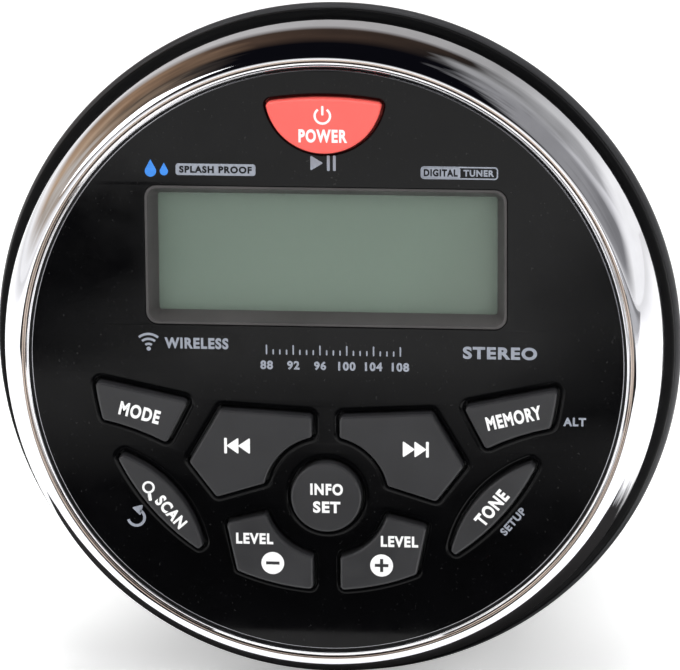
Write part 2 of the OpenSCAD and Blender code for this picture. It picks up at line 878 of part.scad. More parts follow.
module key_contacts() {
    color("gold") {
        both_sides() {
            for (p = [next_at, volume_at, memory_at, leaf_at]) {
                rod(contact_r, y_board - contact_t, y_board, p);
            }
        }
        rod(contact_r, y_board - contact_t, y_board, enter_at);
        rod(contact_r, y_board - contact_t, y_board, power_at);
    }
}

module key_leds() {
    color([0.95, 0.95, 0.85]) slab(y_board - key_lamp_t, y_board) both_sides() {
        for (p = key_lamps) {
            translate(p) square(key_lamp, center = true);
        }
    }
}

module display_driver() {
    color([0.1, 0.1, 0.1]) translate([0, 0, window_z])
        slab(y_board_back, y_board_back + driver_t) square(driver_w, center = true);
}

module board_screws() {
    color("silver") on_posts() screw_forward(board_screw_r, board_screw_head_r, board_screw_head_t,
        board_t + board_screw_l - tip_gap, y_board_back);
}

module header_plug() {
    mid = main_board_z + header_wall + header_h / 2;
    color([0.12, 0.12, 0.12]) span(
        [-header_w / 2, y_board_back, mid - header_h / 2],
        [header_w / 2, header_front - fit, mid + header_h / 2]);
    color("gold") for (i = [0:header_pins - 1]) {
        x = (i - (header_pins - 1) / 2) * header_pitch;
        span([x - header_pin / 2, header_front - 2 * fit, mid - header_pin / 2],
            [x + header_pin / 2, header_back - 2 * header_wall, mid + header_pin / 2]);
    }
}

module header_socket() {
    mid = main_board_z + header_wall + header_h / 2;
    slot_h = header_pin + 4 * fit;
    color([0.85, 0.82, 0.75]) difference() {
        span([-header_w / 2, header_front, main_board_z],
            [header_w / 2, header_back, main_board_z + header_h + 2 * header_wall]);
        span([-header_w / 2 + header_wall, header_front - 1, mid - slot_h / 2],
            [header_w / 2 - header_wall, header_back - header_wall, mid + slot_h / 2]);
    }
}

module main_board() {
    color([0.05, 0.3, 0.15]) span([-main_board_half, main_board_front, main_board_z - board_t],
        [main_board_half, main_board_back, main_board_z]);
}

// A box that stands on the main board, from y back, with its middle at x
module on_board(w, d, h, x, y) {
    span([x - w / 2, y, main_board_z], [x + w / 2, y + d, main_board_z + h]);
}

module controller_chip() {
    color([0.1, 0.1, 0.1])
        on_board(controller_w, controller_w, controller_t, chip_x, header_back + 2 * part_gap);
}

module tuner_can() {
    color("silver")
        on_board(tuner_w, tuner_d, tuner_h, parts_x - tuner_w / 2, header_back + 2 * part_gap);
}

module wireless_module() {
    color([0.1, 0.2, 0.45]) on_board(wireless_w, wireless_d, wireless_t, chip_x,
        header_back + controller_w + 4 * part_gap);
}

module filter_capacitors() {
    color([0.15, 0.2, 0.35]) for (i = [0:capacitor_count - 1]) {
        y = header_back + 2 * part_gap + capacitor_r + i * (2 * capacitor_r + part_gap);
        translate([capacitor_r - parts_x, y, main_board_z]) cylinder(r = capacitor_r, h = capacitor_h);
    }
}

module supply_choke() {
    y = header_back + tuner_d + 3 * part_gap + choke_reach;
    color([0.72, 0.45, 0.2]) translate([parts_x - choke_reach, y, main_board_z + choke_wire_r])
        rotate_extrude() translate([choke_ring_r, 0]) circle(choke_wire_r);
}

module harness_socket() {
    top = main_board_z - board_t;
    color([0.85, 0.82, 0.75])
        span([-harness_w / 2, y_clamp - harness_d, top - harness_h], [harness_w / 2, y_clamp, top]);
}

module amplifier_chip() {
    y_lead = y_chip + amplifier_t / 2;
    color([0.1, 0.1, 0.1]) span([-amplifier_w / 2, y_chip, amplifier_z],
        [amplifier_w / 2, y_chip_back, amplifier_z + amplifier_h]);
    color("silver") for (i = [0:lead_count - 1]) {
        x = (i - (lead_count - 1) / 2) * (amplifier_w - 4) / (lead_count - 1);
        span([x - lead[0] / 2, y_lead - lead[1] / 2, main_board_z],
            [x + lead[0] / 2, y_lead + lead[1] / 2, amplifier_z + fit]);
    }
}

module thermal_pad() {
    color([0.7, 0.72, 0.75]) span([-amplifier_w / 2, y_chip_back, amplifier_z],
        [amplifier_w / 2, y_pad, amplifier_z + amplifier_h]);
}

module on_amplifier_screws() {
    both_sides() translate([amplifier_screw_x, 0, amplifier_mid_z]) children();
}

module amplifier_clamp() {
    reach = amplifier_screw_x + amplifier_screw_head_r + part_gap / 2;
    color("silver") difference() {
        span([-reach, y_clamp, amplifier_mid_z - clamp_h / 2],
            [reach, y_chip, amplifier_mid_z + clamp_h / 2]);
        on_amplifier_screws() rod(amplifier_screw_r + fit, y_clamp - 1, y_chip + 1);
    }
}

module amplifier_screws() {
    color("silver") on_amplifier_screws() {
        rod(amplifier_screw_r, y_clamp - fit, y_sink - tip_gap);
        rod(amplifier_screw_head_r, y_clamp - amplifier_screw_head_t, y_clamp);
    }
}

module gland_hole(bore_r, p) {
    rod(bore_r + gland_wall + fit / 2, y_sink - 1, y_sink_back + 1, p);
}

module rear_heatsink() {
    pad_x = amplifier_screw_x + amplifier_screw_head_r + part_gap;
    color([0.3, 0.3, 0.31]) difference() {
        union() {
            rod(sink_r, y_sink, y_sink_back);
            span([-pad_x, y_pad, amplifier_z - pad_edge],
                [pad_x, y_sink + fit, amplifier_z + amplifier_h + pad_edge]);
            intersection() {
                rod(fin_r, y_sink_back - fit, y_sink_back + fin_l);
                for (i = [0:fin_count - 1]) {
                    x = (i - (fin_count - 1) / 2) * fin_pitch;
                    span([x - fin_t / 2, y_sink_back - fit, fin_z],
                        [x + fin_t / 2, y_sink_back + fin_l, sink_r]);
                }
            }
        }
        on_rear_screws() {
            rod(rear_screw_r + fit, y_sink - 1, y_sink_back + 1);
            rod(rear_screw_head_r + screw_room, y_sink_back, y_sink_back + fin_l + 1);
        }
        on_amplifier_screws() rod(amplifier_screw_r + fit / 2, y_pad - 1, y_sink);
        gland_hole(power_bore_r, power_gland_at);
        gland_hole(signal_bore_r, signal_gland_at);
        gland_hole(aerial_bore_r, aerial_gland_at);
        both_sides()
            rod(stud_root_r + fit / 2, y_sink_back - stud_depth, y_sink_back + 1, [stud_x, stud_z]);
    }
}

module rear_seal() {
    color([0.1, 0.1, 0.1]) difference() {
        union() {
            ring(barrel_in_r, sink_r, barrel_l, y_sink);
            intersection() {
                rod(sink_r, barrel_l, y_sink);
                on_rear_screws() rod(rear_boss_r, barrel_l, y_sink);
            }
        }
        on_rear_screws() rod(rear_screw_r + fit, barrel_l - 1, y_sink + 1);
    }
}

module rear_screws() {
    color("silver") on_rear_screws() difference() {
        union() {
            rod(rear_screw_r, barrel_l - rear_screw_l + tip_gap, y_sink_back);
            rod(rear_screw_head_r, y_sink_back, y_sink_back + rear_screw_head_t);
        }
        translate([0, y_sink_back + rear_screw_head_t + 1, 0]) rotate([90, 0, 0])
            cylinder(r = rear_screw_r, h = rear_screw_head_t, $fn = 6);
    }
}

// A rubber gland: inner flange, neck in the plate, outer flange and tapering boot
module gland(bore_r, p) {
    neck_r = bore_r + gland_wall;
    collar_r = neck_r + gland_flange_w;
    y_boot = y_sink_back + gland_flange_t;
    color([0.09, 0.09, 0.09]) translate([p[0], 0, p[1]]) turned() polygon([
        at(bore_r, y_sink - gland_flange_t),
        at(collar_r - gland_edge, y_sink - gland_flange_t),
        at(collar_r - gland_edge, y_sink),
        at(neck_r, y_sink),
        at(neck_r, y_sink_back),
        at(collar_r, y_sink_back),
        at(collar_r, y_boot - gland_edge),
        at(collar_r - gland_edge, y_boot),
        at(neck_r, y_boot),
        at(bore_r + boot_tip_t, y_boot + boot_l),
        at(bore_r, y_boot + boot_l)]);
}

module power_gland() {
    gland(power_bore_r, power_gland_at);
}

module signal_gland() {
    gland(signal_bore_r, signal_gland_at);
}

module aerial_gland() {
    gland(aerial_bore_r, aerial_gland_at);
}

// Studs with a root in the rear cover, a hex shoulder and a free shank
module mounting_studs() {
    y_shoulder = y_sink_back + shoulder_t;
    color("silver") both_sides() translate([stud_x, 0, stud_z]) {
        rod(stud_root_r, y_sink_back - stud_depth, y_sink_back + fit);
        translate([0, y_shoulder, 0]) rotate([90, 0, 0]) cylinder(r = shoulder_r, h = shoulder_t, $fn = 6);
        rod(stud_r, y_shoulder, y_shoulder + stud_l);
    }
}

panel_gasket();
housing_flange();
main_housing();
front_case();
bezel_ring();
faceplate();
face_tape();
front_seal();
case_screws();
display_frame();
display_lens();
lcd_clip();
lcd_panel();
light_guide();
backlight_leds();
zebra_strips();
keypad_mat();
power_mat();
power_key();
mode_key();
memory_key();
previous_key();
next_key();
scan_key();
tone_key();
enter_key();
volume_down_key();
volume_up_key();
front_board();
key_contacts();
key_leds();
display_driver();
board_screws();
header_plug();
header_socket();
main_board();
controller_chip();
tuner_can();
wireless_module();
filter_capacitors();
supply_choke();
harness_socket();
amplifier_chip();
thermal_pad();
amplifier_clamp();
amplifier_screws();
rear_heatsink();
rear_seal();
rear_screws();
power_gland();
signal_gland();
aerial_gland();
mounting_studs();
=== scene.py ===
"""A round marine stereo head unit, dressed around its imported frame."""

import logging
import math
from collections.abc import Callable, Iterable, Sequence
from dataclasses import dataclass, field, replace
from enum import Enum

import bmesh
import bpy
from mathutils import Matrix, Vector
from mathutils.geometry import tessellate_polygon


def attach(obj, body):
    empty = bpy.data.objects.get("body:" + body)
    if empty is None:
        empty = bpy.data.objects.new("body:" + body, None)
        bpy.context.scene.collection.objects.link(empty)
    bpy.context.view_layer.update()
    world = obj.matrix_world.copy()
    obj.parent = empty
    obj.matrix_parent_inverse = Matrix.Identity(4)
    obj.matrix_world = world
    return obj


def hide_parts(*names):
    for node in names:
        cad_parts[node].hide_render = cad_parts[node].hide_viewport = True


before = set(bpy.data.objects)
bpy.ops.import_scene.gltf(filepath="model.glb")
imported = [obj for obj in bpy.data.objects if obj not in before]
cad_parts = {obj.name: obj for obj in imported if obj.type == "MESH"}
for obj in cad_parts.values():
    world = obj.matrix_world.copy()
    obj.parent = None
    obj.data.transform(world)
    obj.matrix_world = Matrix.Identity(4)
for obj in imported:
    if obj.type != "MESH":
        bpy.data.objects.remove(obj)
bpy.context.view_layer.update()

LOG = logging.getLogger("marine_stereo")
MM = 0.001
HOUSING = "housing"

# In millimetres: a Point is a pair, a Corner is x, z and a corner radius, a Spot is x, y and z.
Point = tuple[float, float]
Corner = tuple[float, float, float]
Spot = tuple[float, float, float]
Rgb = tuple[int, int, int]
Linear = tuple[float, float, float, float]
Socket = bpy.types.NodeSocket

MIDDLE: Point = (0.0, 0.0)
EVEN: Spot = (1.0, 1.0, 1.0)
WHITE: Linear = (1.0, 1.0, 1.0, 1.0)
BLACK: Linear = (0.0, 0.0, 0.0, 1.0)


class Grain(Enum):
    """How a metal surface was worked."""

    MIRROR = "mirror"
    BRUSHED = "brushed"
    CAST = "cast"
    ROLLED = "rolled"


class Side(Enum):
    """Which half of the keypad a key is on."""

    LEFT = -1
    RIGHT = 1


def linear(rgb: Rgb) -> Linear:
    """Turns a written colour into the shader's linear one.

    Args:
        rgb: Red, green and blue from 0 to 255.

    Returns:
        The linear colour with an alpha of one.
    """
    steps = [v / 255 for v in rgb]
    flat = [v / 12.92 if v <= 0.04045 else ((v + 0.055) / 1.055) ** 2.4 for v in steps]
    return (flat[0], flat[1], flat[2], 1.0)


def shaded(rgb: Rgb, share: float) -> Linear:
    """Makes a linear colour darker or lighter.

    Args:
        rgb: Red, green and blue from 0 to 255.
        share: What the linear colour is multiplied by.

    Returns:
        The linear colour with an alpha of one.
    """
    r, g, b, a = linear(rgb)
    return (min(r * share, 1.0), min(g * share, 1.0), min(b * share, 1.0), a)


def arc(centre: Point, radius: float, start: float, end: float, steps: int) -> list[Corner]:
    """Lays points along an arc.

    Args:
        centre: The arc's centre in x and z.
        radius: Its radius.
        start: First angle in degrees.
        end: Last angle in degrees.
        steps: How many steps the arc has.

    Returns:
        The points with a corner radius of nought.
    """
    angles = [math.radians(start + (end - start) * i / steps) for i in range(steps + 1)]
    return [(centre[0] + radius * math.cos(a), centre[1] + radius * math.sin(a), 0.0) for a in angles]


def with_ends(points: list[Corner], radius: float) -> list[Corner]:
    """Gives the first and last points of a run a corner radius.

    Args:
        points: The run of points.
        radius: The radius of its two ends.

    Returns:
        The run with its new ends.
    """
    first, last = points[0], points[-1]
    return [(first[0], first[1], radius), *points[1:-1], (last[0], last[1], radius)]


def bow(p: Point, q: Point, sag: float, steps: int) -> list[Corner]:
    """Lays points between two places along a shallow bow.

    Args:
        p: Where the bow starts.
        q: Where it ends.
        sag: How far its middle bulges to the right of the way from p to q.
        steps: How many steps the bow has.

    Returns:
        The points between the two places.
    """
    d = (q[0] - p[0], q[1] - p[1])
    length = math.hypot(*d)
    side = (d[1] / length, -d[0] / length)
    shares = [i / steps for i in range(1, steps)]
    return [
        (p[0] + d[0] * t + side[0] * sag * 4 * t * (1 - t),
         p[1] + d[1] * t + side[1] * sag * 4 * t * (1 - t), 0.0)
        for t in shares
    ]


def outward(a: Sequence[float], b: Sequence[float]) -> Point:
    """Finds the outward normal of an edge of a counter-clockwise outline.

    Args:
        a: Where the edge starts.
        b: Where it ends.

    Returns:
        The normal, one long.
    """
    d = (b[0] - a[0], b[1] - a[1])
    length = math.hypot(*d)
    return (d[1] / length, -d[0] / length)


def grown(points: list[Corner], distance: float) -> list[Corner]:
    """Moves every edge of an outline outward.

    Args:
        points: The counter-clockwise outline.
        distance: How far, inward where it is below nought.

    Returns:
        The moved outline, with its corner radii changed to match.
    """
    least_radius = 0.12
    moved = []
    for i, p in enumerate(points):
        n1 = outward(points[i - 1], p)
        n2 = outward(p, points[(i + 1) % len(points)])
        share = distance / (1 + n1[0] * n2[0] + n1[1] * n2[1])
        radius = max(p[2] + distance, least_radius) if p[2] > 0 else 0.0
        moved.append((p[0] + share * (n1[0] + n2[0]), p[1] + share * (n1[1] + n2[1]), radius))
    return moved


def rounded(a: Corner, p: Corner, b: Corner, steps: int) -> list[Point]:
    """Rounds one corner of an outline.

    Args:
        a: The corner before.
        p: The corner to round.
        b: The corner after.
        steps: How many steps the round has.

    Returns:
        The points of the round.
    """
    n1, n2 = outward(a, p), outward(p, b)
    dot = n1[0] * n2[0] + n1[1] * n2[1]
    turn = math.atan2(n1[0] * n2[1] - n1[1] * n2[0], dot)
    start = math.atan2(n1[1], n1[0])
    centre = (p[0] - p[2] * (n1[0] + n2[0]) / (1 + dot), p[1] - p[2] * (n1[1] + n2[1]) / (1 + dot))
    angles = [start + turn * i / steps for i in range(steps + 1)]
    return [(centre[0] + p[2] * math.cos(t), centre[1] + p[2] * math.sin(t)) for t in angles]


def shaped(points: list[Corner], distance: float = 0.0, steps: int = 6) -> list[Point]:
    """Rounds the corners of an outline that was moved outward.

    Args:
        points: The counter-clockwise outline.
        distance: How far its edges move out.
        steps: How many steps each round has.

    Returns:
        The finished outline, with the same count of points for any distance.
    """
    moved = grown(points, distance)
    outline: list[Point] = []
    for i, p in enumerate(moved):
        if p[2] > 0:
            outline += rounded(moved[i - 1], p, moved[(i + 1) % len(moved)], steps)
        else:
            outline.append((p[0], p[1]))
    return outline


def mirrored(points: list[Corner]) -> list[Corner]:
    """Mirrors an outline from the right side to the left and keeps its turning sense."""
    return [(-x, z, r) for x, z, r in reversed(points)]


def rounded_box(width: float, height: float, radius: float, centre: Point = MIDDLE) -> list[Point]:
    """Draws a rectangle with round corners.

    Args:
        width: Its width along x.
        height: Its height along z.
        radius: Its corner radius.
        centre: Its middle.

    Returns:
        The outline.
    """
    w, h = width / 2, height / 2
    signs = [(-1, -1), (1, -1), (1, 1), (-1, 1)]
    return shaped([(centre[0] + sx * w, centre[1] + sz * h, radius) for sx, sz in signs])


def polar(reach: Callable[[float], float], centre: Point, steps: int) -> list[Point]:
    """Draws an outline whose reach depends on the angle.

    Args:
        reach: Gives the radius at an angle in radians.
        centre: The middle of the outline.
        steps: How many points it has.

    Returns:
        The outline.
    """
    angles = [2 * math.pi * i / steps for i in range(steps)]
    return [(centre[0] + reach(a) * math.cos(a), centre[1] + reach(a) * math.sin(a)) for a in angles]


def circle(radius: float, centre: Point = MIDDLE, steps: int = 256) -> list[Point]:
    """Draws a circle of as many points as there are steps."""
    return polar(lambda _: radius, centre, steps)


def hexagon(radius: float, angle: float) -> float:
    """Gives the reach of a hexagon of that circumradius at an angle in radians."""
    sector = math.radians(60)
    return radius * math.cos(sector / 2) / math.cos(angle % sector - sector / 2)


class Recipe:
    """The node tree of one material."""

    def __init__(self, name: str) -> None:
        """Starts a material with its main shader.

        Args:
            name: The material's name.
        """
        self.material = bpy.data.materials.new(name)
        self.material.use_nodes = True
        self.tree = self.material.node_tree
        self.shader = self.tree.nodes["Principled BSDF"]

    def node(self, kind: str, **sockets: object) -> bpy.types.Node:
        """Adds a node.

        Args:
            kind: The node's kind without its common prefix.
            sockets: Values for its inputs, with underscores for spaces.

        Returns:
            The new node.
        """
        made = self.tree.nodes.new("ShaderNode" + kind)
        for name, value in sockets.items():
            made.inputs[name.replace("_", " ")].default_value = value
        return made

    def set(self, **sockets: object) -> None:
        """Sets the main shader's own sockets, with underscores for spaces in their names."""
        for name, value in sockets.items():
            self.shader.inputs[name.replace("_", " ")].default_value = value

    def link(self, source: Socket, target: Socket) -> None:
        """Links an output to an input."""
        self.tree.links.new(source, target)

    def feed(self, source: Socket, name: str) -> None:
        """Links an output to the main shader's socket of that name."""
        self.link(source, self.shader.inputs[name])

    def math(self, operation: str, *terms: Socket | float) -> Socket:
        """Works out a value from outputs and numbers.

        Args:
            operation: What is done with the terms.
            terms: The outputs and numbers, in order.

        Returns:
            The output that carries the result.
        """
        made = self.node("Math")
        made.operation = operation
        for term, entry in zip(terms, made.inputs):
            if isinstance(term, float):
                entry.default_value = term
            else:
                self.link(term, entry)
        return made.outputs[0]

    def axes(self, source: Socket) -> dict[str, Socket]:
        """Splits a place or a direction.

        Args:
            source: The output that carries it.

        Returns:
            The outputs of its three numbers, by the axis.
        """
        parts = self.node("SeparateXYZ")
        self.link(source, parts.inputs[0])
        return {axis: parts.outputs[axis] for axis in "XYZ"}

    def place(self, stretch: Spot = EVEN) -> Socket:
        """Gives the place on the object, stretched along its axes.

        Args:
            stretch: The share of each axis.

        Returns:
            The output that carries the place.
        """
        mapping = self.node("Mapping", Scale=stretch)
        self.link(self.node("TexCoord").outputs["Object"], mapping.inputs["Vector"])
        return mapping.outputs[0]

    def cloud(self, grain: float, detail: float = 3.0, stretch: Spot = EVEN) -> Socket:
        """Adds a soft random pattern.

        Args:
            grain: The size of its blotches in millimetres.
            detail: How many finer layers it has.
            stretch: The share of each axis.

        Returns:
            The output that carries a value from nought to one.
        """
        noise = self.node("TexNoise", Scale=1 / (grain * MM), Detail=detail, Roughness=0.55)
        self.link(self.place(stretch), noise.inputs["Vector"])
        return noise.outputs[0]

    def span(self, source: Socket, low: float, high: float, start: float = 0.3,
             end: float = 0.7) -> Socket:
        """Maps a pattern to a span of values.

        Args:
            source: The pattern.
            low: The value at its start.
            high: The value at its end.
            start: Where the pattern starts to count.
            end: Where it stops.

        Returns:
            The output that carries the mapped value.
        """
        mapped = self.node("MapRange", From_Min=start, From_Max=end, To_Min=low, To_Max=high)
        self.link(source, mapped.inputs["Value"])
        return mapped.outputs[0]

    def tint(self, source: Socket, stops: Sequence[tuple[float, Linear]]) -> Socket:
        """Maps a pattern to colours.

        Args:
            source: The pattern.
            stops: Places from nought to one, each with its linear colour.

        Returns:
            The output that carries the colour.
        """
        ramp = self.node("ValToRGB")
        while len(ramp.color_ramp.elements) < len(stops):
            ramp.color_ramp.elements.new(0.5)
        for element, (place, colour) in zip(ramp.color_ramp.elements, stops):
            element.position = place
            element.color = colour
        self.link(source, ramp.inputs["Fac"])
        return ramp.outputs["Color"]

    def blend(self, share: Socket, base: Socket, colour: Socket | Linear) -> Socket:
        """Lays one colour over another where a pattern says.

        Args:
            share: How much of the colour shows.
            base: The colour below.
            colour: The colour on top, linear where it is even.

        Returns:
            The output that carries the mixed colour.
        """
        mix = self.node("Mix")
        mix.data_type = "RGBA"
        factor, below, above, result = mix.inputs[0], mix.inputs[6], mix.inputs[7], mix.outputs[2]
        self.link(share, factor)
        self.link(base, below)
        if isinstance(colour, tuple):
            above.default_value = colour
        else:
            self.link(colour, above)
        return result

    def relief(self, height: Socket, depth: float, strength: float) -> None:
        """Raises the surface after a pattern.

        Args:
            height: The pattern.
            depth: How deep it is in millimetres.
            strength: How much of it shows.
        """
        bump = self.node("Bump", Strength=strength, Distance=depth * MM)
        self.link(height, bump.inputs["Height"])
        self.feed(bump.outputs["Normal"], "Normal")


@dataclass(frozen=True)
class Finish:
    """A named finish, made once and shared."""

    name: str
    rgb: Rgb

    def material(self) -> bpy.types.Material:
        """Gives the finish's material and makes it the first time."""
        return bpy.data.materials.get(self.name) or self.make()

    def make(self) -> bpy.types.Material:
        """Builds the material."""
        raise NotImplementedError


@dataclass(frozen=True)
class Moulding(Finish):
    """Moulded plastic or rubber with grain, blotches and fine dust."""

    roughness: float = 0.4
    swing: float = 0.08
    gloss: float = 0.5
    grain: float = 0.4
    depth: float = 0.01
    blotch: float = 0.12
    dust: float = 0.0
    dust_rgb: Rgb = (190, 190, 188)
    stretch: Spot = EVEN

    def make(self) -> bpy.types.Material:
        """Builds the plastic.

        Returns:
            The material.
        """
        recipe = Recipe(self.name)
        recipe.set(Specular_IOR_Level=self.gloss)
        broad = recipe.cloud(9.0, 2.0, self.stretch)
        colour = recipe.tint(broad, [
            (0.3, shaded(self.rgb, 1 - self.blotch)), (0.7, shaded(self.rgb, 1 + self.blotch))])
        if self.dust > 0:
            specks = recipe.span(recipe.cloud(0.35, 1.0), 0.0, self.dust, 0.74, 0.8)
            colour = recipe.blend(specks, colour, linear(self.dust_rgb))
        recipe.feed(colour, "Base Color")
        worn = recipe.cloud(4.0, 4.0, self.stretch)
        rough = recipe.span(worn, self.roughness - self.swing, self.roughness + self.swing)
        recipe.feed(rough, "Roughness")
        recipe.relief(recipe.cloud(self.grain, 2.0, self.stretch), self.depth, 0.6)
        return recipe.material


@dataclass(frozen=True)
class Metal(Finish):
    """Plated, brushed, cast or rolled metal."""

    work: Grain = Grain.BRUSHED
    roughness: float = 0.25

    def make(self) -> bpy.types.Material:
        """Builds the metal.

        Returns:
            The material.
        """
        sizes = {
            Grain.MIRROR: (14.0, 0.004, 0.02, EVEN),
            Grain.BRUSHED: (0.25, 0.006, 0.08, (1.0, 0.06, 1.0)),
            Grain.CAST: (0.5, 0.05, 0.08, EVEN),
            Grain.ROLLED: (0.3, 0.006, 0.07, (0.08, 1.0, 1.0)),
        }
        grain, depth, swing, stretch = sizes[self.work]
        smoothest = max(self.roughness - swing, 0.01)
        recipe = Recipe(self.name)
        recipe.set(Metallic=1.0)
        colour = recipe.tint(recipe.cloud(6.0, 3.0), [
            (0.3, shaded(self.rgb, 0.93)), (0.7, shaded(self.rgb, 1.05))])
        recipe.feed(colour, "Base Color")
        worn = recipe.cloud(2.5, 5.0, stretch)
        recipe.feed(recipe.span(worn, smoothest, self.roughness + swing), "Roughness")
        recipe.relief(recipe.cloud(grain, 2.0, stretch), depth, 0.4)
        return recipe.material


@dataclass(frozen=True)
class ClearCover(Finish):
    """The clear cover over the display, polished, with a milky tint in the display's colour that paints
    the lit display over the shade in its recess.
    """

    # How much the tint shows: painted light that hides the shade in the display's recess.
    cover: float = 0.1

    def make(self) -> bpy.types.Material:
        """Builds the clear plastic.

        Returns:
            The material.
        """
        recipe = Recipe(self.name)
        recipe.set(Base_Color=linear(self.rgb), Alpha=self.cover, Specular_IOR_Level=0.3)
        recipe.feed(recipe.span(recipe.cloud(5.0, 4.0), 0.04, 0.14), "Roughness")
        recipe.relief(recipe.cloud(20.0, 1.0), 0.002, 0.3)
        return recipe.material


@dataclass(frozen=True)
class DisplayGlass(Finish):
    """The unlit display: grey-green, with painted shade that darkens its left end and a painted dim
    reflection, with a slanted edge, that darkens its right end more.
    """

    # The two end colours are painted shade and a painted dim reflection, not the glass's own colour.
    right: Rgb = (98, 97, 90)
    left: Rgb = (120, 136, 126)
    half: float = 27.0
    reflection_slant: float = -0.35

    def make(self) -> bpy.types.Material:
        """Builds the display glass.

        Returns:
            The material.
        """
        recipe = Recipe(self.name)
        recipe.set(Specular_IOR_Level=0.25)
        axes = recipe.axes(recipe.place())
        # A slanted ramp across the display, which lays the painted shade and reflection.
        slanted = recipe.math("MULTIPLY_ADD", axes["Z"], self.reflection_slant, axes["X"])
        across = recipe.span(slanted, 0.0, 1.0, -self.half * MM, self.half * MM)
        stops = ((0.0, self.left), (0.3, self.rgb), (0.62, self.rgb), (0.9, self.right))
        recipe.feed(recipe.tint(across, [(place, linear(rgb)) for place, rgb in stops]), "Base Color")
        recipe.feed(recipe.span(recipe.cloud(3.0), 0.3, 0.42), "Roughness")
        recipe.relief(recipe.cloud(30.0, 1.0), 0.004, 0.2)
        return recipe.material


@dataclass(frozen=True)
class Ink(Finish):
    """Printed ink, a little uneven and slightly worn."""

    roughness: float = 0.55
    swing: float = 0.1
    worn: float = 0.86

    def make(self) -> bpy.types.Material:
        """Builds the ink.

        Returns:
            The material.
        """
        recipe = Recipe(self.name)
        recipe.set(Specular_IOR_Level=0.2)
        colour = recipe.tint(recipe.cloud(0.6, 4.0), [
            (0.25, shaded(self.rgb, self.worn)), (0.6, linear(self.rgb))])
        recipe.feed(colour, "Base Color")
        patchy = recipe.cloud(1.0)
        rough = recipe.span(patchy, self.roughness - self.swing, self.roughness + self.swing)
        recipe.feed(rough, "Roughness")
        recipe.relief(recipe.cloud(0.15, 1.0), 0.004, 0.4)
        return recipe.material


GASKET = Moulding("gasket_rubber_finish", (53, 53, 55), roughness=0.42, gloss=0.35, grain=0.22,
                  depth=0.016)
FLANGE = Moulding("flange_plastic_finish", (9, 9, 10), roughness=0.5, gloss=0.12, grain=0.5, depth=0.006)
BARREL = Moulding("barrel_plastic_finish", (24, 24, 25), roughness=0.5, gloss=0.4, grain=0.3, depth=0.02)
CHROME = Metal("bezel_chrome_finish", (238, 238, 242), Grain.MIRROR, 0.045)
# Tan tint on the lip's outer bead: a painted reflection of a tan room, not the plating's own colour.
LIP_PAINTED_REFLECTION = Metal("lip_painted_reflection_finish", (172, 158, 148), Grain.MIRROR, 0.06)
FACE = Moulding("face_gloss_finish", (6, 6, 7), roughness=0.09, swing=0.03, gloss=0.17, grain=18.0,
                depth=0.003, blotch=0.2, dust=0.05)
FACE_EDGE = Metal("face_edge_finish", (146, 146, 150), Grain.MIRROR, 0.08)
FRAME = Moulding("frame_plastic_finish", (72, 70, 70), roughness=0.42, gloss=0.3, grain=0.25, depth=0.012)
# The cover's tint repeats the display's colour, painted light over the recess shade near the frame.
LENS = ClearCover("lens_tint_over_shade_finish", (129, 145, 133), 0.42)
DISPLAY = DisplayGlass("lcd_glass_painted_shade_finish", (131, 150, 136))
KEY_GREY = Moulding("key_grey_finish", (45, 45, 47), roughness=0.36, gloss=0.45, grain=0.16, depth=0.012,
                    dust=0.05)
KEY_RED = Moulding("key_red_finish", (250, 101, 94), roughness=0.45, gloss=0.3, grain=0.2, depth=0.008,
                   blotch=0.04)
WHITE_INK = Ink("white_ink_finish", (246, 246, 246))
GREY_INK = Ink("grey_ink_finish", (150, 155, 166))
BLUE_INK = Ink("blue_ink_finish", (66, 138, 226))
BLACK_INK = Ink("black_ink_finish", (14, 14, 15))
COVER = Metal("rear_cover_finish", (92, 92, 95), Grain.CAST, 0.5)
STEEL = Metal("screw_steel_finish", (196, 196, 198), Grain.BRUSHED, 0.24)
STUD = Metal("stud_steel_finish", (206, 204, 198), Grain.BRUSHED, 0.28)
GLAND = Moulding("gland_rubber_finish", (30, 30, 31), roughness=0.6, gloss=0.25, grain=0.3, depth=0.03)
SEAL = Moulding("seal_rubber_finish", (26, 26, 27), roughness=0.62, gloss=0.2, grain=0.3, depth=0.02)

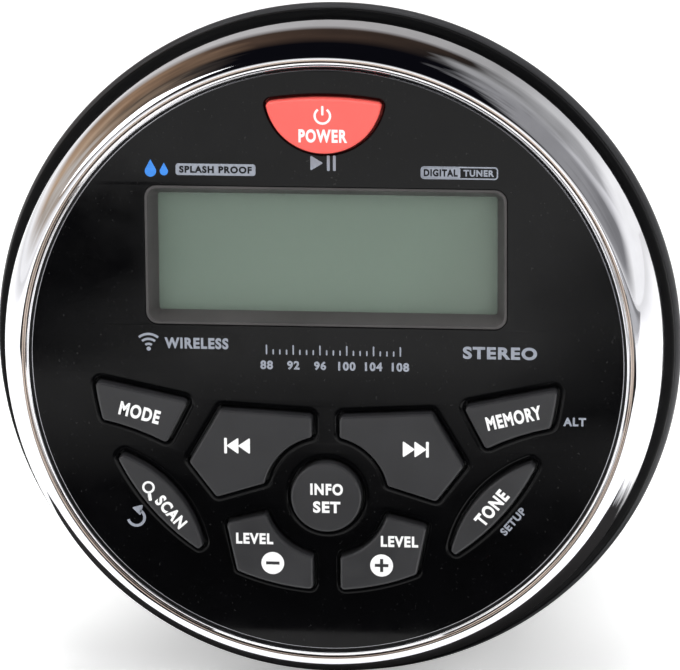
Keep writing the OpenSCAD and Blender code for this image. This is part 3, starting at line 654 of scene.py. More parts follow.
INNER_FINISHES: dict[Finish, tuple[str, ...]] = {
    BARREL: ("main_housing", "front_case"),
    FLANGE: ("housing_flange",),
    SEAL: ("face_tape", "front_seal"),
    STEEL: ("case_screws", "board_screws", "amplifier_screws"),
    DISPLAY: ("lcd_panel",),
    Metal("clip_steel_finish", (180, 182, 184), Grain.ROLLED, 0.3): ("lcd_clip", "amplifier_clamp"),
    Moulding("guide_plastic_finish", (226, 228, 222), roughness=0.3, blotch=0.03): ("light_guide",),
    Moulding("lamp_white_finish", (238, 232, 206), roughness=0.35, blotch=0.04): (
        "backlight_leds", "key_leds"),
    Moulding("zebra_rubber_finish", (172, 112, 126), roughness=0.6, stretch=(0.05, 1.0, 1.0)): (
        "zebra_strips",),
    Moulding("mat_rubber_finish", (196, 198, 196), roughness=0.6, grain=0.3, depth=0.02): (
        "keypad_mat", "power_mat"),
    Moulding("board_green_finish", (24, 88, 52), roughness=0.35, grain=0.9, depth=0.02, blotch=0.25): (
        "front_board", "main_board"),
    Metal("contact_gold_finish", (226, 180, 92), Grain.ROLLED, 0.22): ("key_contacts",),
    Moulding("chip_black_finish", (32, 32, 34), roughness=0.55, grain=0.15, depth=0.015): (
        "display_driver", "controller_chip", "amplifier_chip"),
    Moulding("connector_plastic_finish", (222, 214, 192), roughness=0.5, blotch=0.05): (
        "header_plug", "header_socket", "harness_socket"),
    Metal("can_steel_finish", (190, 190, 186), Grain.ROLLED, 0.34): ("tuner_can",),
    Moulding("module_blue_finish", (30, 62, 128), roughness=0.4, blotch=0.2): ("wireless_module",),
    Moulding("capacitor_sleeve_finish", (40, 44, 84), roughness=0.35, blotch=0.1): ("filter_capacitors",),
    Metal("choke_copper_finish", (190, 108, 68), Grain.BRUSHED, 0.3): ("supply_choke",),
    Moulding("thermal_grey_finish", (168, 172, 178), roughness=0.7, grain=0.3, depth=0.03): (
        "thermal_pad",),
}


class Shell:
    """Closed skins of one piece while they are being made, in millimetres."""

    def __init__(self) -> None:
        """Starts with nothing."""
        self.points: list[Spot] = []
        self.faces: list[tuple[int, ...]] = []
        self.flat: list[bool] = []
        self.coat: list[int] = []
        self.brush = 0

    def put(self, face: Iterable[int], flat: bool) -> None:
        """Adds a face in the finish that the brush holds.

        Args:
            face: The numbers of its points.
            flat: Whether it is shaded flat.
        """
        self.faces.append(tuple(face))
        self.flat.append(flat)
        self.coat.append(self.brush)

    def ring(self, spots: Iterable[Spot]) -> list[int]:
        """Adds a ring of points.

        Args:
            spots: The points.

        Returns:
            Their numbers.
        """
        first = len(self.points)
        self.points.extend(spots)
        return list(range(first, len(self.points)))

    def loop(self, outline: Iterable[Point], y: float) -> list[int]:
        """Adds an outline at one depth.

        Args:
            outline: Its points in x and z.
            y: Its depth.

        Returns:
            The numbers of its points.
        """
        return self.ring((x, y, z) for x, z in outline)

    def join(self, a: list[int], b: list[int]) -> None:
        """Closes the band between two rings of as many points.

        Args:
            a: The first ring.
            b: The second ring.
        """
        for i in range(len(a)):
            j = (i + 1) % len(a)
            self.put((a[i], a[j], b[j], b[i]), False)

    def fill(self, outer: list[int], *holes: list[int]) -> None:
        """Caps a flat ring and leaves holes open.

        Args:
            outer: The ring to cap.
            holes: The rings of the holes.
        """
        rings = [outer, *holes]
        order = [i for ring in rings for i in ring]
        flats = [[Vector((self.points[i][0], self.points[i][2], 0.0)) for i in ring] for ring in rings]
        for tri in tessellate_polygon(flats):
            self.put((order[k] for k in tri), True)

    def loft(self, rings: list[list[int]], closed: bool = False) -> None:
        """Joins rings one after the other and caps them, or closes the run on itself.

        Args:
            rings: The rings in order.
            closed: Whether the last joins the first.
        """
        for a, b in zip(rings, rings[1:]):
            self.join(a, b)
        if closed:
            self.join(rings[-1], rings[0])
        else:
            self.fill(rings[0])
            self.fill(rings[-1])

    def turn(self, profile: Sequence[Point], steps: int = 256, centre: Point = MIDDLE) -> None:
        """Turns a closed profile of radii and depths about an axis along y.

        Args:
            profile: The profile.
            steps: How many steps the turn has.
            centre: Where the axis stands in x and z.
        """
        self.loft([self.loop(circle(r, centre, steps), y) for r, y in profile], closed=True)

    def add_mesh(self, points: Iterable[Spot], faces: Iterable[Sequence[int]]) -> None:
        """Adds a ready skin with flat faces.

        Args:
            points: Its points.
            faces: The numbers of each face's points.
        """
        first = len(self.points)
        self.points.extend(points)
        for face in faces:
            self.put((first + i for i in face), True)

    def mesh(self, name: str) -> bpy.types.Mesh:
        """Makes a mesh in metres.

        Args:
            name: The mesh's name.

        Returns:
            The new mesh.
        """
        made = bpy.data.meshes.new(name)
        made.from_pydata([(x * MM, y * MM, z * MM) for x, y, z in self.points], [], self.faces)
        return made

    def piece(self, name: str, body: str, finishes: Finish | Sequence[Finish], nodes: Sequence[str] = (),
              sharp: float = 38.0) -> None:
        """Makes the piece, hangs it on its body and dresses it.

        Args:
            name: The piece's name.
            body: The body it rides on.
            finishes: Its finish, or several in the order of the brush.
            nodes: The CAD nodes it stands for.
            sharp: Edges that turn more than this many degrees stay sharp.
        """
        same_place = 1e-7
        mesh = self.mesh(name)
        mesh.polygons.foreach_set("use_smooth", [not flat for flat in self.flat])
        mesh.polygons.foreach_set("material_index", self.coat)
        work = bmesh.new()
        work.from_mesh(mesh)
        bmesh.ops.remove_doubles(work, verts=work.verts, dist=same_place)
        bmesh.ops.recalc_face_normals(work, faces=work.faces)
        work.to_mesh(mesh)
        work.free()
        mesh.set_sharp_from_angle(angle=math.radians(sharp))
        for finish in [finishes] if isinstance(finishes, Finish) else finishes:
            mesh.materials.append(finish.material())
        made = bpy.data.objects.new(name, mesh)
        bpy.context.scene.collection.objects.link(made)
        weighted = made.modifiers.new("even_normals", "WEIGHTED_NORMAL")
        weighted.keep_sharp = True
        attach(made, body)
        if nodes:
            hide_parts(*nodes)
        LOG.info("%s on %s: %d faces", name, body, len(mesh.polygons))


def quarter(start: Point, end: Point, steps: int, bulge: bool = True) -> list[Point]:
    """Rounds a profile from one point to another by a quarter ellipse.

    Args:
        start: Where the round starts.
        end: Where it ends.
        steps: How many steps it has.
        bulge: Whether it leaves the start along the first number, or along the second.

    Returns:
        The points of the round, both ends among them.
    """
    points = []
    for i in range(steps + 1):
        a = math.pi / 2 * i / steps
        u, v = (math.sin(a), 1 - math.cos(a)) if bulge else (1 - math.cos(a), math.sin(a))
        points.append((start[0] + (end[0] - start[0]) * u, start[1] + (end[1] - start[1]) * v))
    return points


@dataclass
class MountingRing:
    """The rubber gasket that seals the unit to the panel."""

    hole_r: float = 39.4
    back_r: float = 51.08
    outer_r: float = 51.98
    aside: float = 0.2
    back_y: float = -0.02
    front_y: float = -3.98
    round_w: float = 0.8
    round_d: float = 1.2
    edge: float = 0.3
    ridge_rs: Point = (42.5, 46.5)
    ridge_w: float = 0.9
    ridge_h: float = 0.35
    steps: int = 320

    def build(self) -> None:
        """Turns the gasket with its rounded rim and two sealing ridges on its back."""
        flat_y = self.back_y - self.ridge_h
        ridges = []
        for middle in self.ridge_rs:
            ridges += [(middle - self.ridge_w, flat_y), (middle - self.ridge_w / 2, flat_y),
                       (middle, self.back_y), (middle + self.ridge_w / 2, flat_y)]
        rim = quarter((self.outer_r, self.front_y + self.round_d),
                      (self.outer_r - self.round_w, self.front_y), 8, bulge=False)
        profile = [(self.hole_r, self.front_y + self.edge), (self.hole_r, flat_y - self.edge),
                   (self.hole_r + self.edge, flat_y), *ridges, (self.back_r - self.edge, flat_y),
                   (self.back_r, flat_y - self.edge), *rim, (self.hole_r + self.edge, self.front_y)]
        shell = Shell()
        shell.turn(profile, self.steps)
        shell.points = [(x + self.aside, y, z) for x, y, z in shell.points]
        shell.piece("panel_gasket_ring", HOUSING, GASKET, ["panel_gasket"])


@dataclass
class Bezel:
    """The plated ring with its double-lined lip."""

    lip_r: float = 44.7
    lip_y: float = -17.3
    lip_w: float = 1.1
    bead_w: float = 0.36
    groove: float = 0.2
    outer_r: float = 50.5
    band_w: float = 4.05
    band_aside: Point = (0.1, 0.15)
    lean: float = 8.0
    foot_y: float = -6.4
    base_y: float = -5.62
    wall: float = 1.5
    seat_y: float = -16.45
    seat_r: float = 46.15
    steps: int = 384
    bead_steps: int = 7
    band_steps: int = 48
    hollow_steps: int = 16

    def lip(self) -> tuple[list[Point], list[Point]]:
        """Draws the lip's two beads.

        Returns:
            The profile of the inner bead, and that of the outer bead after the groove, which carries the
            painted tan reflection.
        """
        split = self.lip_r + self.bead_w
        bead = self.bead_w / 2
        deep = self.lip_y + self.groove
        steps = self.bead_steps
        inner = [(self.lip_r, self.lip_y + 3 * self.groove),
                 *quarter((self.lip_r, self.lip_y + bead), (self.lip_r + bead, self.lip_y), steps, False),
                 *quarter((split - bead, self.lip_y), (split, deep), steps)[1:]]
        tan_reflection_bead = quarter((split + self.groove, deep), (self.lip_r + self.lip_w, self.lip_y), steps, False)
        return inner, tan_reflection_bead

    def band(self) -> list[Point]:
        """Draws the band from the lip to the foot, which bends until it leans like the ring's side.

        Returns:
            The profile of the band.
        """
        crest = self.lip_r + self.lip_w
        depth = self.foot_y - self.lip_y
        slope = math.tan(math.radians(self.lean))
        last = math.atan(self.band_w / (depth * slope))
        bends = [last * i / self.band_steps for i in range(1, self.band_steps + 1)]
        band = [(crest + self.band_w * math.sin(t), self.foot_y - depth * math.cos(t)) for t in bends]
        return [*band, (band[-1][0] + (self.base_y - band[-1][1]) * slope, self.base_y)]

    def hollow(self) -> list[Point]:
        """Draws the hollow behind the band and the seat of the face.

        Returns:
            The profile of the hollow.
        """
        reach = self.outer_r - self.wall
        inside = quarter((self.seat_r, self.lip_y + self.wall), (reach, self.foot_y), self.hollow_steps)
        return [(reach, self.base_y), *reversed(inside),
                (self.seat_r, self.seat_y), (self.lip_r, self.seat_y)]

    def build(self) -> None:
        """Turns the ring as one closed profile, with the foot of its band a little aside."""
        inner, tan_reflection_bead = self.lip()
        shell = Shell()
        rings = [shell.loop(circle(r, steps=self.steps), y) for r, y in [*inner, *tan_reflection_bead]]
        for r, y in self.band():
            share = (y - self.lip_y) / (self.base_y - self.lip_y)
            aside = (self.band_aside[0] * share, self.band_aside[1] * share)
            rings.append(shell.loop(circle(r, aside, self.steps), y))
        rings += [shell.loop(circle(r, steps=self.steps), y) for r, y in self.hollow()]
        for i, ring in enumerate(rings):
            # The outer bead's faces take the second finish, a tan tint that paints in a reflection.
            shell.brush = int(len(inner) <= i < len(inner) + len(tan_reflection_bead) - 1)
            shell.join(ring, rings[(i + 1) % len(rings)])
        shell.piece("bezel_chrome_ring", HOUSING, [CHROME, LIP_PAINTED_REFLECTION], ["bezel_ring"])


@dataclass
class Key:
    """One push key: its outline, its look and the body it rides on."""

    name: str
    outline: list[Corner]
    finish: Finish = KEY_GREY
    slot: str = "key_grey"
    soft_w: float = 0.42
    soft_d: float = 0.4
    roll_w: float = 0.85
    stem: list[Corner] = field(default_factory=list)


@dataclass
class Keypad:
    """The ten keys, drawn on the right side and mirrored to the left."""

    ring_r: float = 34.7
    enter: Point = (0.0, -20.3)
    enter_r: float = 5.33
    moat_r: float = 9.43
    split: float = 2.05
    corner: float = 0.62
    moat_corner: float = 0.5
    skip_top: float = -7.85
    skip_side: tuple[Point, ...] = ((16.5, -20.6), (20.6, -15.2), (15.9, -7.1))
    level_side: Point = (15.1, -24.6)
    level_end: float = -67.0
    memory_top: Point = (20.6, -6.0)
    memory_low: Point = (23.9, -12.4)
    memory_arc: Point = (-15.0, -5.0)
    memory_sag: float = -0.35
    leaf_angle: float = -40.8
    leaf_half: float = 17.1
    leaf_w: float = 4.5
    leaf_blunt: float = 1.05
    leaf_corner: float = 0.38
    leaf_stem_tips: float = 3.0
    power_ring_r: float = 40.6
    power_r: float = 8.65
    power_top: float = 40.15
    power_top_r: float = 52.0
    top_y: float = -18.55
    flange_y: float = -14.6
    flange_back_y: float = -13.42
    stem_y: float = -10.52
    flange_w: float = 1.2
    stem_in: float = 1.0
    keys: list[Key] = field(default_factory=list)

    def on_ring(self, radius: float, angle: float, corner: float) -> Corner:
        """Gives a corner on a circle about the unit's axis, at an angle in degrees."""
        return (radius * math.cos(math.radians(angle)), radius * math.sin(math.radians(angle)), corner)

    def next_outline(self) -> list[Corner]:
        """Draws the skip key on the right.

        Returns:
            The outline, hollow where it goes round the moat.
        """
        top = math.degrees(math.acos(self.split / self.moat_r))
        moat = with_ends(arc(self.enter, self.moat_r, top, 12, 16), self.moat_corner)
        side = [(x, z, self.corner) for x, z in self.skip_side]
        return [(self.split, self.skip_top, self.corner), *moat, *side]

    def volume_outline(self) -> list[Corner]:
        """Draws the level key on the right.

        Returns:
            The outline, hollow where it goes round the moat.
        """
        top = math.degrees(math.acos(self.split / self.moat_r))
        start = -90 + math.degrees(math.asin(self.split / self.ring_r))
        moat = with_ends(arc(self.enter, self.moat_r, -17, -top, 16), self.moat_corner)
        under = with_ends(arc(MIDDLE, self.ring_r, start, self.level_end, 10), self.corner)
        return [*moat, *under, (*self.level_side, self.corner)]

    def memory_outline(self) -> list[Corner]:
        """Draws the memory key on the right.

        Returns:
            The outline, with a shallow bow below and the key circle at its outer end.
        """
        start, end = self.memory_arc
        low = self.on_ring(self.ring_r, start, self.corner)
        outer = with_ends(arc(MIDDLE, self.ring_r, start, end, 5), self.corner)
        return [(*self.memory_top, self.corner), (*self.memory_low, self.corner),
                *bow(self.memory_low, low[:2], self.memory_sag, 4), *outer]

    def power_outline(self) -> list[Corner]:
        """Draws the power key at the top, between a small arc below and a shallow one above.

        Returns:
            The outline, with a corner at each tip.
        """
        middle = self.power_top - self.power_top_r
        apart = self.power_ring_r - middle
        tip_z = middle + (self.power_top_r ** 2 - self.power_r ** 2 + apart ** 2) / (2 * apart)
        low = math.degrees(math.asin((self.power_ring_r - tip_z) / self.power_r))
        high = math.degrees(math.acos((tip_z - middle) / self.power_top_r))
        under = arc((0, self.power_ring_r), self.power_r, 180 + low, 360 - low, 40)
        over = arc((0, middle), self.power_top_r, 90 - high, 90 + high, 16)
        return [*with_ends(under, self.corner), *over[1:-1]]

    def leaf_outline(self, moved: float = 0.0, tips: float = 0.0) -> list[Corner]:
        """Draws the leaf key on the right, between the key circle and an inner arc.

        Args:
            moved: How far its sides are moved out.
            tips: How much shorter each tip is.

        Returns:
            The outline, with four blunt corners.
        """
        half = self.ring_r * math.sin(math.radians(self.leaf_half))
        chord = self.ring_r * math.cos(math.radians(self.leaf_half))
        sag = chord - self.ring_r + self.leaf_w
        bend = (half * half + sag * sag) / 2 / sag + moved
        middle = chord - sag + bend - moved
        blunt = half - self.leaf_blunt - tips
        ring = self.ring_r + moved
        out_u = (ring ** 2 - blunt ** 2 + chord ** 2) / (2 * chord)
        out_a = math.degrees(math.acos(out_u / ring))
        in_u = (bend ** 2 - blunt ** 2 - middle ** 2 + chord ** 2) / (2 * (chord - middle))
        in_a = math.degrees(math.acos((middle - in_u) / bend))
        centre = self.on_ring(middle, self.leaf_angle, 0.0)[:2]
        back = self.leaf_angle + 180
        outer = arc(MIDDLE, ring, self.leaf_angle - out_a, self.leaf_angle + out_a, 22)
        hollow = arc(centre, bend, back - in_a, back + in_a, 22)
        return [*with_ends(outer, self.leaf_corner), *with_ends(hollow, self.leaf_corner)]

    def lay_out(self) -> None:
        """Draws all keys."""
        ring = [(x, z, 0.0) for x, z in circle(self.enter_r, self.enter, 96)]
        right = {"next": self.next_outline(), "volume_up": self.volume_outline(),
                 "memory": self.memory_outline(), "tone": self.leaf_outline()}
        left = {"next": "previous", "volume_up": "volume_down", "memory": "mode", "tone": "scan"}
        for name, outline in right.items():
            stem = grown(outline, -self.stem_in)
            if name == "tone":
                stem = self.leaf_outline(-self.stem_in, self.leaf_stem_tips)
            self.keys.append(Key(f"{name}_key", outline, stem=stem))
            self.keys.append(Key(f"{left[name]}_key", mirrored(outline), stem=mirrored(stem)))
        power = self.power_outline()
        self.keys.append(Key("enter_key", ring, stem=grown(ring, -self.stem_in)))
        self.keys.append(Key("power_key", power, KEY_RED, "key_red", roll_w=0.3,
                             stem=grown(power, -self.stem_in)))

    def build(self) -> None:
        """Builds each key with a soft top edge, a flange behind the face and a stem."""
        for key in self.keys:
            shell = Shell()
            sections = [(self.flange_w, self.flange_back_y), (self.flange_w, self.flange_y),
                        (0.0, self.flange_y), (0.0, (self.flange_y + self.top_y) / 2)]
            soft = quarter((0.0, self.top_y + key.soft_d), (-key.soft_w, self.top_y), 9, bulge=False)
            rings = [shell.loop(shaped(key.stem), y) for y in (self.stem_y, self.flange_back_y)]
            rings += [shell.loop(shaped(key.outline, d), y) for d, y in [*sections, *soft]]
            shell.loft(rings)
            shell.piece(f"{key.name}_cap", key.name, key.finish, [key.name])


@dataclass
class FacePanel:
    """The gloss face with its openings, each with a soft rolled edge."""

    radius: float = 44.36
    front_y: float = -17.0
    back_y: float = -14.82
    edge: float = 0.2
    key_gap: float = 0.35
    roll_d: float = 0.3
    window: tuple[float, float, float] = (54.0, 21.2, 1.9)
    window_z: float = 16.1
    window_edge: float = 0.06
    post_r: float = 2.0
    post_hole_r: float = 1.05
    post_edge: float = 0.2
    post_ring: float = 37.5
    post_angles: tuple[float, ...] = (64.0, 116.0, -61.4, -118.6)
    post_y: float = -9.45
    steps: int = 360

    def build(self, keypad: Keypad) -> None:
        """Builds the face round the keys.

        Args:
            keypad: The keys that pass through it.
        """
        shell = Shell()
        rim = [shell.loop(circle(r, steps=self.steps), y) for r, y in quarter(
            (self.radius, self.front_y + self.edge), (self.radius - self.edge, self.front_y),
            6, bulge=False)]
        back = shell.loop(circle(self.radius, steps=self.steps), self.back_y)
        shell.join(back, rim[0])
        shell.brush = 1
        for a, b in zip(rim, rim[1:]):
            shell.join(a, b)
        shell.brush = 0
        fronts, backs = [], []
        for key in keypad.keys:
            steps = quarter((self.key_gap, self.front_y + self.roll_d),
                            (self.key_gap + key.roll_w, self.front_y), 6, bulge=False)
            fronts.append(self.opening(shell, [(shaped(key.outline, d), y) for d, y in steps], backs))
        width, height, corner = self.window
        steps = quarter((0.0, self.front_y + self.window_edge), (self.window_edge, self.front_y),
                        4, bulge=False)
        fronts.append(self.opening(shell, [
            (rounded_box(width + 2 * d, height + 2 * d, corner + d, (0.0, self.window_z)), y)
            for d, y in steps], backs))
        shell.fill(rim[-1], *fronts)
        shell.fill(back, *backs)
        post = [(self.post_hole_r, self.back_y), (self.post_r, self.back_y),
                (self.post_r, self.post_y + self.post_edge), (self.post_r - self.post_edge, self.post_y),
                (self.post_hole_r, self.post_y)]
        for angle in self.post_angles:
            a = math.radians(angle)
            shell.turn(post, 36, (self.post_ring * math.cos(a), self.post_ring * math.sin(a)))
        shell.piece("face_gloss_panel", HOUSING, [FACE, FACE_EDGE], ["faceplate"])

    def opening(self, shell: Shell, steps: list[tuple[list[Point], float]],
                backs: list[list[int]]) -> list[int]:
        """Cuts one opening through the face.

        Args:
            shell: The face's skin.
            steps: The outlines of the rolled edge, from the wall to the front.
            backs: Takes the ring at the back.

        Returns:
            The ring at the front.
        """
        backs.append(shell.loop(steps[0][0], self.back_y))
        rings = [backs[-1], *(shell.loop(outline, y) for outline, y in steps)]
        for a, b in zip(rings, rings[1:]):
            shell.join(a, b)
        return rings[-1]


@dataclass
class DisplayWindow:
    """The sloping frame and the clear cover of the display."""

    middle: Point = (0.0, 16.1)
    window: Point = (53.8, 21.0)
    view: Point = (50.6, 17.8)
    pocket: Point = (53.2, 20.4)
    lens: Point = (53.0, 20.2)
    flange: Point = (57.8, 25.0)
    corner: float = 1.8
    view_corner: float = 0.4
    flange_corner: float = 3.8
    front_y: float = -17.0
    lens_y: float = -14.0
    back_y: float = -13.02
    flange_y: float = -14.78
    rim_edge: float = 0.08
    land_w: float = 0.3
    brow: Point = (0.42, 0.14)
    toe: tuple[Point, ...] = ((-0.08, -0.2), (-0.02, -0.07), (0.0, 0.0))
    lens_gap: float = 0.01
    lens_edge: float = 0.12

    def box(self, size: Point, inset: float, corner: float) -> list[Point]:
        """Draws a box about the display's middle, made smaller all round."""
        return rounded_box(size[0] - 2 * inset, size[1] - 2 * inset, corner - inset * 0.5, self.middle)

    def build(self) -> None:
        """Builds the frame as one closed section, and the cover."""
        frame_skin = Shell()
        sections = [(self.box(self.window, 0, self.corner), self.flange_y)]
        rim = quarter((0.0, self.front_y + self.rim_edge), (self.rim_edge, self.front_y), 4, bulge=False)
        brow = quarter((self.land_w, self.front_y), (self.brow[0], self.front_y + self.brow[1]), 4)
        sections += [(self.box(self.window, d, self.corner), y) for d, y in [*rim, *brow]]
        sections += [(self.box(self.view, d, self.view_corner), self.lens_y + y) for d, y in self.toe]
        sections += [(self.box(self.pocket, 0, self.corner), self.lens_y),
                     (self.box(self.pocket, 0, self.corner), self.back_y),
                     (self.box(self.flange, 0, self.flange_corner), self.back_y),
                     (self.box(self.flange, 0, self.flange_corner), self.flange_y)]
        frame_skin.loft([frame_skin.loop(outline, y) for outline, y in sections], closed=True)
        frame_skin.piece("display_bevel_frame", HOUSING, FRAME, ["display_frame"], 30.0)
        cover = Shell()
        edge = self.lens_edge
        cover.loft([cover.loop(self.box(self.lens, d, self.corner), y) for d, y in (
            (edge, self.lens_y + self.lens_gap), (0.0, self.lens_y + edge),
            (0.0, self.back_y - edge), (edge, self.back_y))])
        cover.piece("display_clear_cover", HOUSING, LENS, ["display_lens"])


@dataclass(frozen=True)
class Word:
    """A plain word: its capitals' height, its middle, its width or nought, and its turn in degrees."""

    text: str
    height: float
    at: Point
    width: float = 0.0
    turn: float = 0.0


@dataclass
class Markings:
    """Printed signs and plain words, each a thin raised print."""

    face_y: float = -17.0
    key_y: float = -18.55
    sunk: float = 0.02
    proud: float = 0.03
    shift: Point = (0.10, 0.35)
    splash_pill: Point = (-16.2, 29.1)
    tuner_pill: Point = (19.9, 29.1)
    waves_at: Point = (-26.6, 1.75)
    bold: float = 0.042
    spacing: float = 1.16
    layer: float = 0.025

    def letters(self, text: str) -> bpy.types.Mesh:
        """Makes the letters of a word in a size of their own.

        Args:
            text: The word.

        Returns:
            Their mesh, with its front above nought along z.
        """
        curve = bpy.data.curves.new("word", "FONT")
        curve.body = text
        curve.extrude = 0.5
        curve.offset = self.bold
        curve.space_character = self.spacing
        curve.resolution_u = 5
        carrier = bpy.data.objects.new("word", curve)
        bpy.context.scene.collection.objects.link(carrier)
        graph = bpy.context.evaluated_depsgraph_get()
        mesh = bpy.data.meshes.new_from_object(carrier.evaluated_get(graph))
        bpy.data.objects.remove(carrier)
        bpy.data.curves.remove(curve)
        return mesh

    def word(self, shell: Shell, word: Word, y: float) -> None:
        """Sets a word.

        Args:
            shell: The print that takes it.
            word: The word.
            y: The depth of the surface that carries it.
        """
        mesh = self.letters(word.text)
        xs = [v.co.x for v in mesh.vertices]
        zs = [v.co.y for v in mesh.vertices]
        tall = word.height / (max(zs) - min(zs))
        wide = word.width / (max(xs) - min(xs)) if word.width else tall
        middle = ((max(xs) + min(xs)) / 2, (max(zs) + min(zs)) / 2)
        flat = [((v.co.x - middle[0]) * wide, (v.co.y - middle[1]) * tall) for v in mesh.vertices]
        depths = [y - self.proud if v.co.z > 0 else y + self.sunk for v in mesh.vertices]
        spots = [(x, depth, z) for (x, z), depth in zip(self.placed(flat, word.at, word.turn), depths)]
        shell.add_mesh(spots, [tuple(p.vertices) for p in mesh.polygons])
        bpy.data.meshes.remove(mesh)

    def key_word(self, shell: Shell, word: Word) -> None:
        """Sets a word on a key's top, where it looks to be at its place on the face."""
        self.word(shell, replace(word, at=self.on_key(*word.at)), self.key_y)

    def sign(self, shell: Shell, outline: list[Point], y: float, *holes: list[Point]) -> None:
        """Sets a flat sign with holes.

        Args:
            shell: The print that takes it.
            outline: The sign's outline.
            y: The depth of the surface that carries it.
            holes: The outlines of its holes.
        """
        rings = []
        for depth in (y + self.sunk, y - self.proud):
            rings.append([shell.loop(line, depth) for line in (outline, *holes)])
            shell.fill(rings[-1][0], *rings[-1][1:])
        for a, b in zip(*rings):
            shell.join(a, b)

    def placed(self, outline: Sequence[Point], at: Point, turn: float = 0.0) -> list[Point]:
        """Turns an outline about its own origin and moves it to a place."""
        c, s = math.cos(math.radians(turn)), math.sin(math.radians(turn))
        return [(at[0] + u * c - w * s, at[1] + u * s + w * c) for u, w in outline]

    def strip(self, middle: Sequence[Point], width: float) -> list[Point]:
        """Draws a strip of even width along a run of points.

        Args:
            middle: The run of points.
            width: The strip's width.

        Returns:
            Its outline.
        """
        left, right = [], []
        for i, p in enumerate(middle):
            a, b = middle[max(i - 1, 0)], middle[min(i + 1, len(middle) - 1)]
            n = outward(a, b)
            right.append((p[0] + n[0] * width / 2, p[1] + n[1] * width / 2))
            left.append((p[0] - n[0] * width / 2, p[1] - n[1] * width / 2))
        return [*right, *reversed(left)]

    def bend(self, centre: Point, radius: float, start: float, end: float, width: float) -> list[Point]:
        """Draws an arc-shaped strip, with its angles in degrees."""
        return self.strip([p[:2] for p in arc(centre, radius, start, end, 20)], width)

    def bar(self, width: float, height: float, at: Point, turn: float = 0.0) -> list[Point]:
        """Draws a small bar with softened corners."""
        return self.placed(rounded_box(width, height, min(width, height) * 0.2), at, turn)

    def on_key(self, x: float, z: float) -> Point:
        """Gives the place on a key's top that looks like a place on the face."""
        return (x + self.shift[0], z + self.shift[1])

    def build(self) -> None:
        """Prints the keys and the face."""
        self.print_skip_keys()
        self.print_level_keys()
        self.print_worded_keys()
        self.print_power_key()
        self.print_face_grey()
        self.print_face_blue()
        self.print_face_black()

    def print_skip_keys(self) -> None:
        """Prints the double triangles on the skip keys."""
        for side, name in ((Side.LEFT, "previous_key"), (Side.RIGHT, "next_key")):
            s = side.value
            at = self.on_key(13.4 * s, -12.9)
            shell = Shell()
            for x in (-1.95, -0.22):
                tri = [(x, -1.27, 0.1), (x + 1.82, 0.0, 0.1), (x, 1.27, 0.1)]
                self.sign(shell, self.placed(shaped(tri if s > 0 else mirrored(tri)), at), self.key_y)
            self.sign(shell, self.bar(0.42, 2.4, (at[0] + 1.72 * s, at[1])), self.key_y)
            shell.piece(f"{name}_sign", name, WHITE_INK)

    def print_level_keys(self) -> None:
        """Prints a disc with a minus or a plus and a word on the level keys."""
        for side, name in ((Side.LEFT, "volume_down_key"), (Side.RIGHT, "volume_up_key")):
            s = side.value
            at = self.on_key(8.2 * s, -30.95)
            arm, thick = 1.02, 0.24
            minus = [(-arm, -thick), (arm, -thick), (arm, thick), (-arm, thick)]
            plus = [(-arm, -thick), (-thick, -thick), (-thick, -arm), (thick, -arm),
                    (thick, -thick), (arm, -thick), (arm, thick), (thick, thick),
                    (thick, arm), (-thick, arm), (-thick, thick), (-arm, thick)]
            shell = Shell()
            self.sign(shell, circle(1.72, at, 48), self.key_y, self.placed(minus if s < 0 else plus, at))
            self.key_word(shell, Word("LEVEL", 1.7, (10.9 * s, -27.2), 5.6))
            shell.piece(f"{name}_sign", name, WHITE_INK)

    def print_worded_keys(self) -> None:
        """Prints the plain words on the other keys."""
        words = {"mode_key": Word("MODE", 2.15, (-28.0, -8.1), 6.2, -14.0),
                 "memory_key": Word("MEMORY", 2.15, (28.0, -7.8), 8.4, 14.0),
                 "tone_key": Word("TONE", 2.1, (24.7, -21.7), 6.2, 51.0)}
        for name, word in words.items():
            shell = Shell()
            self.key_word(shell, word)
            shell.piece(f"{name}_word", name, WHITE_INK)
        scan = Shell()
        self.key_word(scan, Word("SCAN", 1.9, (-23.5, -23.35), 5.6, -49.0))
        at = self.on_key(-26.85, -19.6)
        self.sign(scan, circle(0.95, at, 32), self.key_y, circle(0.62, at, 32))
        self.sign(scan, self.bar(1.25, 0.5, (at[0] + 0.18, at[1] - 1.45), -82.0), self.key_y)
        scan.piece("scan_key_sign", "scan_key", WHITE_INK)
        enter = Shell()
        self.key_word(enter, Word("INFO", 1.8, (0.0, -19.35), 4.9))
        self.key_word(enter, Word("SET", 1.8, (0.0, -22.1), 4.1))
        enter.piece("enter_key_word", "enter_key", WHITE_INK)

    def print_power_key(self) -> None:
        """Prints the power sign and its word."""
        shell = Shell()
        at = self.on_key(-0.2, 37.3)
        self.sign(shell, self.bend(at, 1.14, 125, 415, 0.34), self.key_y)
        self.sign(shell, self.bar(0.34, 1.4, (at[0], at[1] + 0.78)), self.key_y)
        self.key_word(shell, Word("POWER", 2.0, (-0.15, 34.3), 7.2))
        shell.piece("power_key_sign", "power_key", WHITE_INK)

    def pill(self, shell: Shell, middle: Point, width: float, height: float, line: float) -> None:
        """Prints the outline of a pill."""
        self.sign(shell, rounded_box(width, height, 0.5, middle), self.face_y,
                  rounded_box(width - 2 * line, height - 2 * line, 0.5 - line, middle))

    def print_face_black(self) -> None:
        """Prints the dark words that lie on the filled pills."""
        shell = Shell()
        y = self.face_y - self.layer
        x, z = self.tuner_pill
        self.word(shell, Word("SPLASH PROOF", 1.05, self.splash_pill, 10.8), y)
        self.word(shell, Word("DIGITAL", 1.1, (x - 2.75, z), 5.0), y)
        shell.piece("face_black_print", HOUSING, BLACK_INK)

